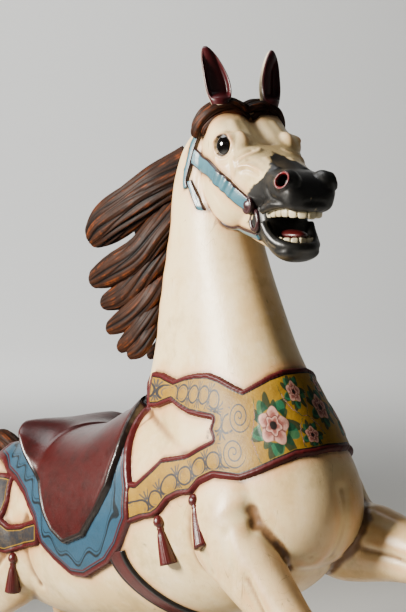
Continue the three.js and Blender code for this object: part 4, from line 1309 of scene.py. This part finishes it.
def blanket_paint():
    """Slate-blue gloss paint with a dark meander and dark-red edging."""
    p = Paint("slate_blue_gloss_paint", "#24455a", 0.34, coat=0.25, coat_roughness=0.2)
    edge, place, across = p.attribute("edge"), p.attribute("place"), p.attribute("across")
    p.mix(p.noise(40, 5, 0.65, seed=1.0).step(0.4, 0.7) * 0.55, "#203641")
    wave = ((place + across * 0.4) * 0.11).math("SINE") * 7.0 + 32.0
    p.mix((edge - wave).line(0.0, 2.2, 0.8), "#141b20")
    p.mix((edge - wave).line(6.5, 1.0, 0.6) * 0.8, "#141b20")
    p.mix(edge.line(16.5, 1.5, 0.5), "#3f1214")
    p.mix(edge.step(11.5, 12.5, inverse=True), "#430c0d")
    p.mix(edge.line(12.8, 1.0, 0.4), "#0f0d0d")
    p.mix(p.noise(12, 5, 0.7, seed=3.0).step(0.58, 0.85) * 0.5, "#241d18")
    return p.bump(p.noise(5, 3, 0.6, seed=4.0), 0.4).done()


def plain_paint(name, base, shade, roughness=0.34, coat=0.35, rim=None, rim_width=4.0):
    """Gloss paint of one colour, mottled with age, with a darker painted rim where one is given."""
    p = Paint(name, base, roughness, coat=coat)
    p.mix(p.noise(30, 5, 0.65, seed=1.0).step(0.4, 0.7) * 0.6, shade)
    if rim:
        p.mix(p.attribute("edge").step(rim_width - 0.5, rim_width + 0.5, inverse=True), rim)
    p.mix(p.noise(9, 5, 0.7, seed=3.0).step(0.6, 0.85) * 0.4, "#1c140f")
    p.rough = roughness - 0.06 + 0.16 * p.noise(14, 4, 0.6, seed=5.0)
    return p.bump(p.noise(4, 3, 0.6, seed=4.0), 0.3).done()


def ear_paint():
    """Ivory oil paint with a maroon hollow, glossier than the coat, so that the ears catch the light."""
    p = Paint("ivory_and_maroon_oil_paint", "#e3d3b2", 0.36, coat_roughness=0.2)
    p.mix(p.noise(14, 4, 0.6).step(0.45, 0.7) * 0.5, "#b8965c")
    inside = p.attribute("inside") * p.attribute("rise").step(0.06, 0.12)
    p.mix(inside.step(0.35, 0.65), "#3a060c")
    return p.done()


def glass():
    """Dark brown glass, one colour all over: it catches the light and hides the wood."""
    p = Paint("dark_glass", "#050302", 0.05, coat=1.0, coat_roughness=0.03, specular=0.6)
    return p.done()


# ---- Attributes of the skin ----
# Where the black of the muzzle starts: [angle round the head from its top, place forward of the pivot].
MUZZLE_EDGE = [
    (0, 101), (8, 106), (20, 122), (30, 133), (44, 147), (59, 143), (69, 122), (87, 104), (104, 107),
    (116, 110), (127, 107), (132, 92), (140, 94), (147, 116), (180, 122)]


def skin_attributes(mesh, points, mean, tack_tree):
    """Black muzzle, mouth, hooves, dirt and painted shade in hollows and along the tack's edges, and warm
    blushes near the cut edges.
    """
    local = row_to_head(points)
    x, y, z = local.T
    # The black of the muzzle starts on a slanting line across the face and jaw.
    head = (x > 40) & (x < 260) & (z > -290) & (z < 20)
    around = np.degrees(np.arctan2(np.abs(y), z + 165))
    muzzle = smoothstep(x - np.interp(around, *np.array(MUZZLE_EDGE).T), -15, 15) * head
    red, lid = np.zeros(len(x)), np.zeros(len(x))
    for side in (-1, 1):
        r, _ = nostril_place(points, side)
        red = np.maximum(red, np.exp(-((r - 12.0) / 2.4) ** 2) * head)
        height, spoke, _ = axis_place(points, EYE_CENTRE, EYE_WAY, side)
        around = np.linalg.norm(spoke, axis=1)
        lid = np.maximum(lid, (1 - smoothstep(around, 18.2, 20.0)) * (height > 0) * head * (x < 100))
    set_attribute(mesh, "muzzle", muzzle)
    set_attribute(mesh, "nostril", red)
    set_attribute(mesh, "lid", lid)
    set_attribute(mesh, "hoof", hoof_share(points))
    normal = normals(mesh)
    curve = np.sum((mean(points) - points) * normal, 1)
    for _ in range(4):
        curve = mean(curve)[:, 0]
    # Dark in the carving's hollows and just beside the tack's edges: partly dirt, partly painted shade.
    hollow = np.clip(curve * 5, 0, 1)
    near = np.array([tack_tree.find_nearest(p * MM, 0.03)[3] or 0.03 for p in points]) / MM
    set_attribute(mesh, "hollow", np.clip(hollow + 0.75 * np.exp(-((near / 4.5) ** 2)), 0, 1))
    blush = np.clip(np.abs(curve) * 3.0, 0, 0.8) + 0.5 * np.exp(-((near / 12) ** 2))
    set_attribute(mesh, "blush", np.clip(blush, 0, 1) * (1 - muzzle))


# ---- The whole horse ----
def tree_of(objects):
    """A search tree over several objects' faces."""
    bm = bmesh.new()
    for obj in objects:
        bm.from_mesh(obj.data)
    tree = BVHTree.FromBMesh(bm)
    bm.free()
    return tree


def painted(objects, material, node="horse"):
    """Gives pieces their paint, hangs them under the root and hides the solid that they stand for."""
    for obj in objects if isinstance(objects, list) else [objects]:
        obj.data.materials.clear()
        obj.data.materials.append(material)
        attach(obj, "root")
        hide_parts(node)


def build():
    """Carves the skins first, lays the tack on them, then works out the paint's measures and paints."""
    body_piece = finished("carved_body", body_rings(), BODY_GRID, 14, carved_body)
    head_piece = finished("carved_head", head_rings(), HEAD_GRID, 10, carved_head)
    tree = tree_of([body_piece, head_piece])
    skull_piece = skinned("skull_forms", head_rings()[:-1])
    blanket_piece = blanket(tree)
    collar_piece, rump_piece = collar(tree), rump_band(tree)
    saddle_piece, girth_piece, straps = saddle(tree), girth(tree), bridle((tree, tree_of([skull_piece])))
    hair = mane() + forelock() + tail()
    ears = [ear(-1, "right"), ear(1, "left")]
    bits = bit(-1, "right") + bit(1, "left")
    tassels = [tassel(k + 1, side, *t) for k, t in enumerate(TASSELS) for side in (-1, 1)]
    bpy.data.objects.remove(skull_piece)
    tack = tree_of([blanket_piece, collar_piece, rump_piece, girth_piece] + straps + hair)
    for piece in (body_piece, head_piece):
        skin_attributes(piece.data, coordinates(piece.data), neighbour_mean(piece.data), tack)

    for pieces, paint in (
            ([body_piece, head_piece], cream_paint()),
            (hair, hair_paint()),
            ([collar_piece, rump_piece], collar_paint()),
            (blanket_piece, blanket_paint()),
            (saddle_piece, plain_paint("dark_red_gloss_paint", "#380b0a", "#1a0806", 0.3, 0.3,
                                       rim="#150b08", rim_width=12)),
            (girth_piece, plain_paint("oxblood_gloss_paint", "#400e0c", "#240806",
                                      rim="#0c0908", rim_width=9)),
            (straps, plain_paint("blue_grey_gloss_paint", "#3f6b79", "#284a54",
                                 rim="#240a0b", rim_width=3.6)),
            (bits, plain_paint("brown_red_gloss_paint", "#2c1014", "#150a0b")),
            (tassels, plain_paint("crimson_gloss_paint", "#4a0f0e", "#260807")),
            (ears, ear_paint()),
            (teeth(), plain_paint("aged_ivory_gloss_paint", "#d2c6a4", "#8f7a50")),
            (tongue(), plain_paint("deep_red_gloss_paint", "#3d0a0a", "#1d0606"))):
        painted(pieces, paint)
    shiny = glass()
    for side, tag in ((-1, "right"), (1, "left")):
        painted(eyeball(side, tag), shiny, f"eye_{tag}")
    painted(plinth(), plain_paint("brown_gloss_paint", "#4a3b30", "#2f251e"), "base")


# ---- Stage, light and camera ----
TARGET = Vector((0.150, 0.0, 0.950))
CAMERA = Vector((1.985, -1.540, 1.0965))
LENS, SENSOR = 80.67, 36  # millimetres
STAGE_X, FLOOR_FLAT, FLOOR_CURVE, WALL_TOP = 0.15, 9.0, 4.0, 8.0
STAGE_SIDES = 96
LIGHTS = [
    # Name, place, aim, size, watts, colour, spread in degrees.
    ("key_softbox", (-0.9, -3.0, 1.9), TARGET, 1.2, 66, (1.0, 0.95, 0.86), 62),
    ("top_softbox", (-0.8, -0.2, 3.4), TARGET, 1.8, 9, (1, 1, 1), 90),
    ("backdrop_lamp", (-6.0, 2.2, 5.5), (-9.8, 7.2, 1.6), 3.5, 620, (0.98, 0.99, 1.0), 180)]


def stage():
    """A pale floor that curves up into a pale wall on every side."""
    bm = bmesh.new()
    wall = FLOOR_FLAT + FLOOR_CURVE
    outline = [(r, 0.0) for r in (1.4, 4.0, FLOOR_FLAT)]
    outline += [(FLOOR_FLAT + FLOOR_CURVE * math.sin(a), FLOOR_CURVE - FLOOR_CURVE * math.cos(a))
                for a in np.linspace(0.15, math.pi / 2, 9)]
    outline += [(wall, 6.0), (wall, WALL_TOP)]
    around = np.linspace(0, 2 * math.pi, STAGE_SIDES, endpoint=False)
    rows = [[bm.verts.new((STAGE_X + r * math.cos(a), r * math.sin(a), z)) for a in around]
            for r, z in outline]
    bm.faces.new(rows[0])
    for a, b in zip(rows[:-1], rows[1:]):
        for j in range(STAGE_SIDES):
            k = (j + 1) % STAGE_SIDES
            bm.faces.new((a[j], a[k], b[k], b[j]))
    floor = object_of("floor", bm)
    if floor.data.polygons[0].normal.z < 0:
        floor.data.flip_normals()
    p = Paint("pale_backdrop_paper", "#e6e5e1", 0.9, coat=0.0, specular=0.1)
    floor.data.materials.append(p.done())


def light(name, place, aim, size, power, colour, spread):
    """A round soft lamp that the camera doesn't see."""
    lamp = bpy.data.lights.new(name, "AREA")
    lamp.shape, lamp.size, lamp.energy, lamp.color = "DISK", size, power, colour
    lamp.spread = math.radians(spread)
    obj = bpy.data.objects.new(name, lamp)
    obj.location, obj.visible_camera = place, False
    obj.rotation_euler = (Vector(aim) - Vector(place)).to_track_quat("-Z", "Y").to_euler()
    bpy.context.collection.objects.link(obj)


def studio():
    stage()
    for settings in LIGHTS:
        light(*settings)
    world = bpy.data.worlds.new("pale_room")
    bpy.context.scene.world = world
    world.use_nodes = True
    background = world.node_tree.nodes["Background"]
    background.inputs[0].default_value, background.inputs[1].default_value = linear("#dcdcda"), 0.08
    camera = bpy.data.cameras.new("camera")
    camera.sensor_width = camera.sensor_height = SENSOR
    camera.sensor_fit, camera.lens = "VERTICAL", LENS
    obj = bpy.data.objects.new("camera", camera)
    obj.location = CAMERA
    obj.rotation_euler = (TARGET - CAMERA).to_track_quat("-Z", "Y").to_euler()
    bpy.context.collection.objects.link(obj)
    bpy.context.scene.camera = obj


build()
studio()
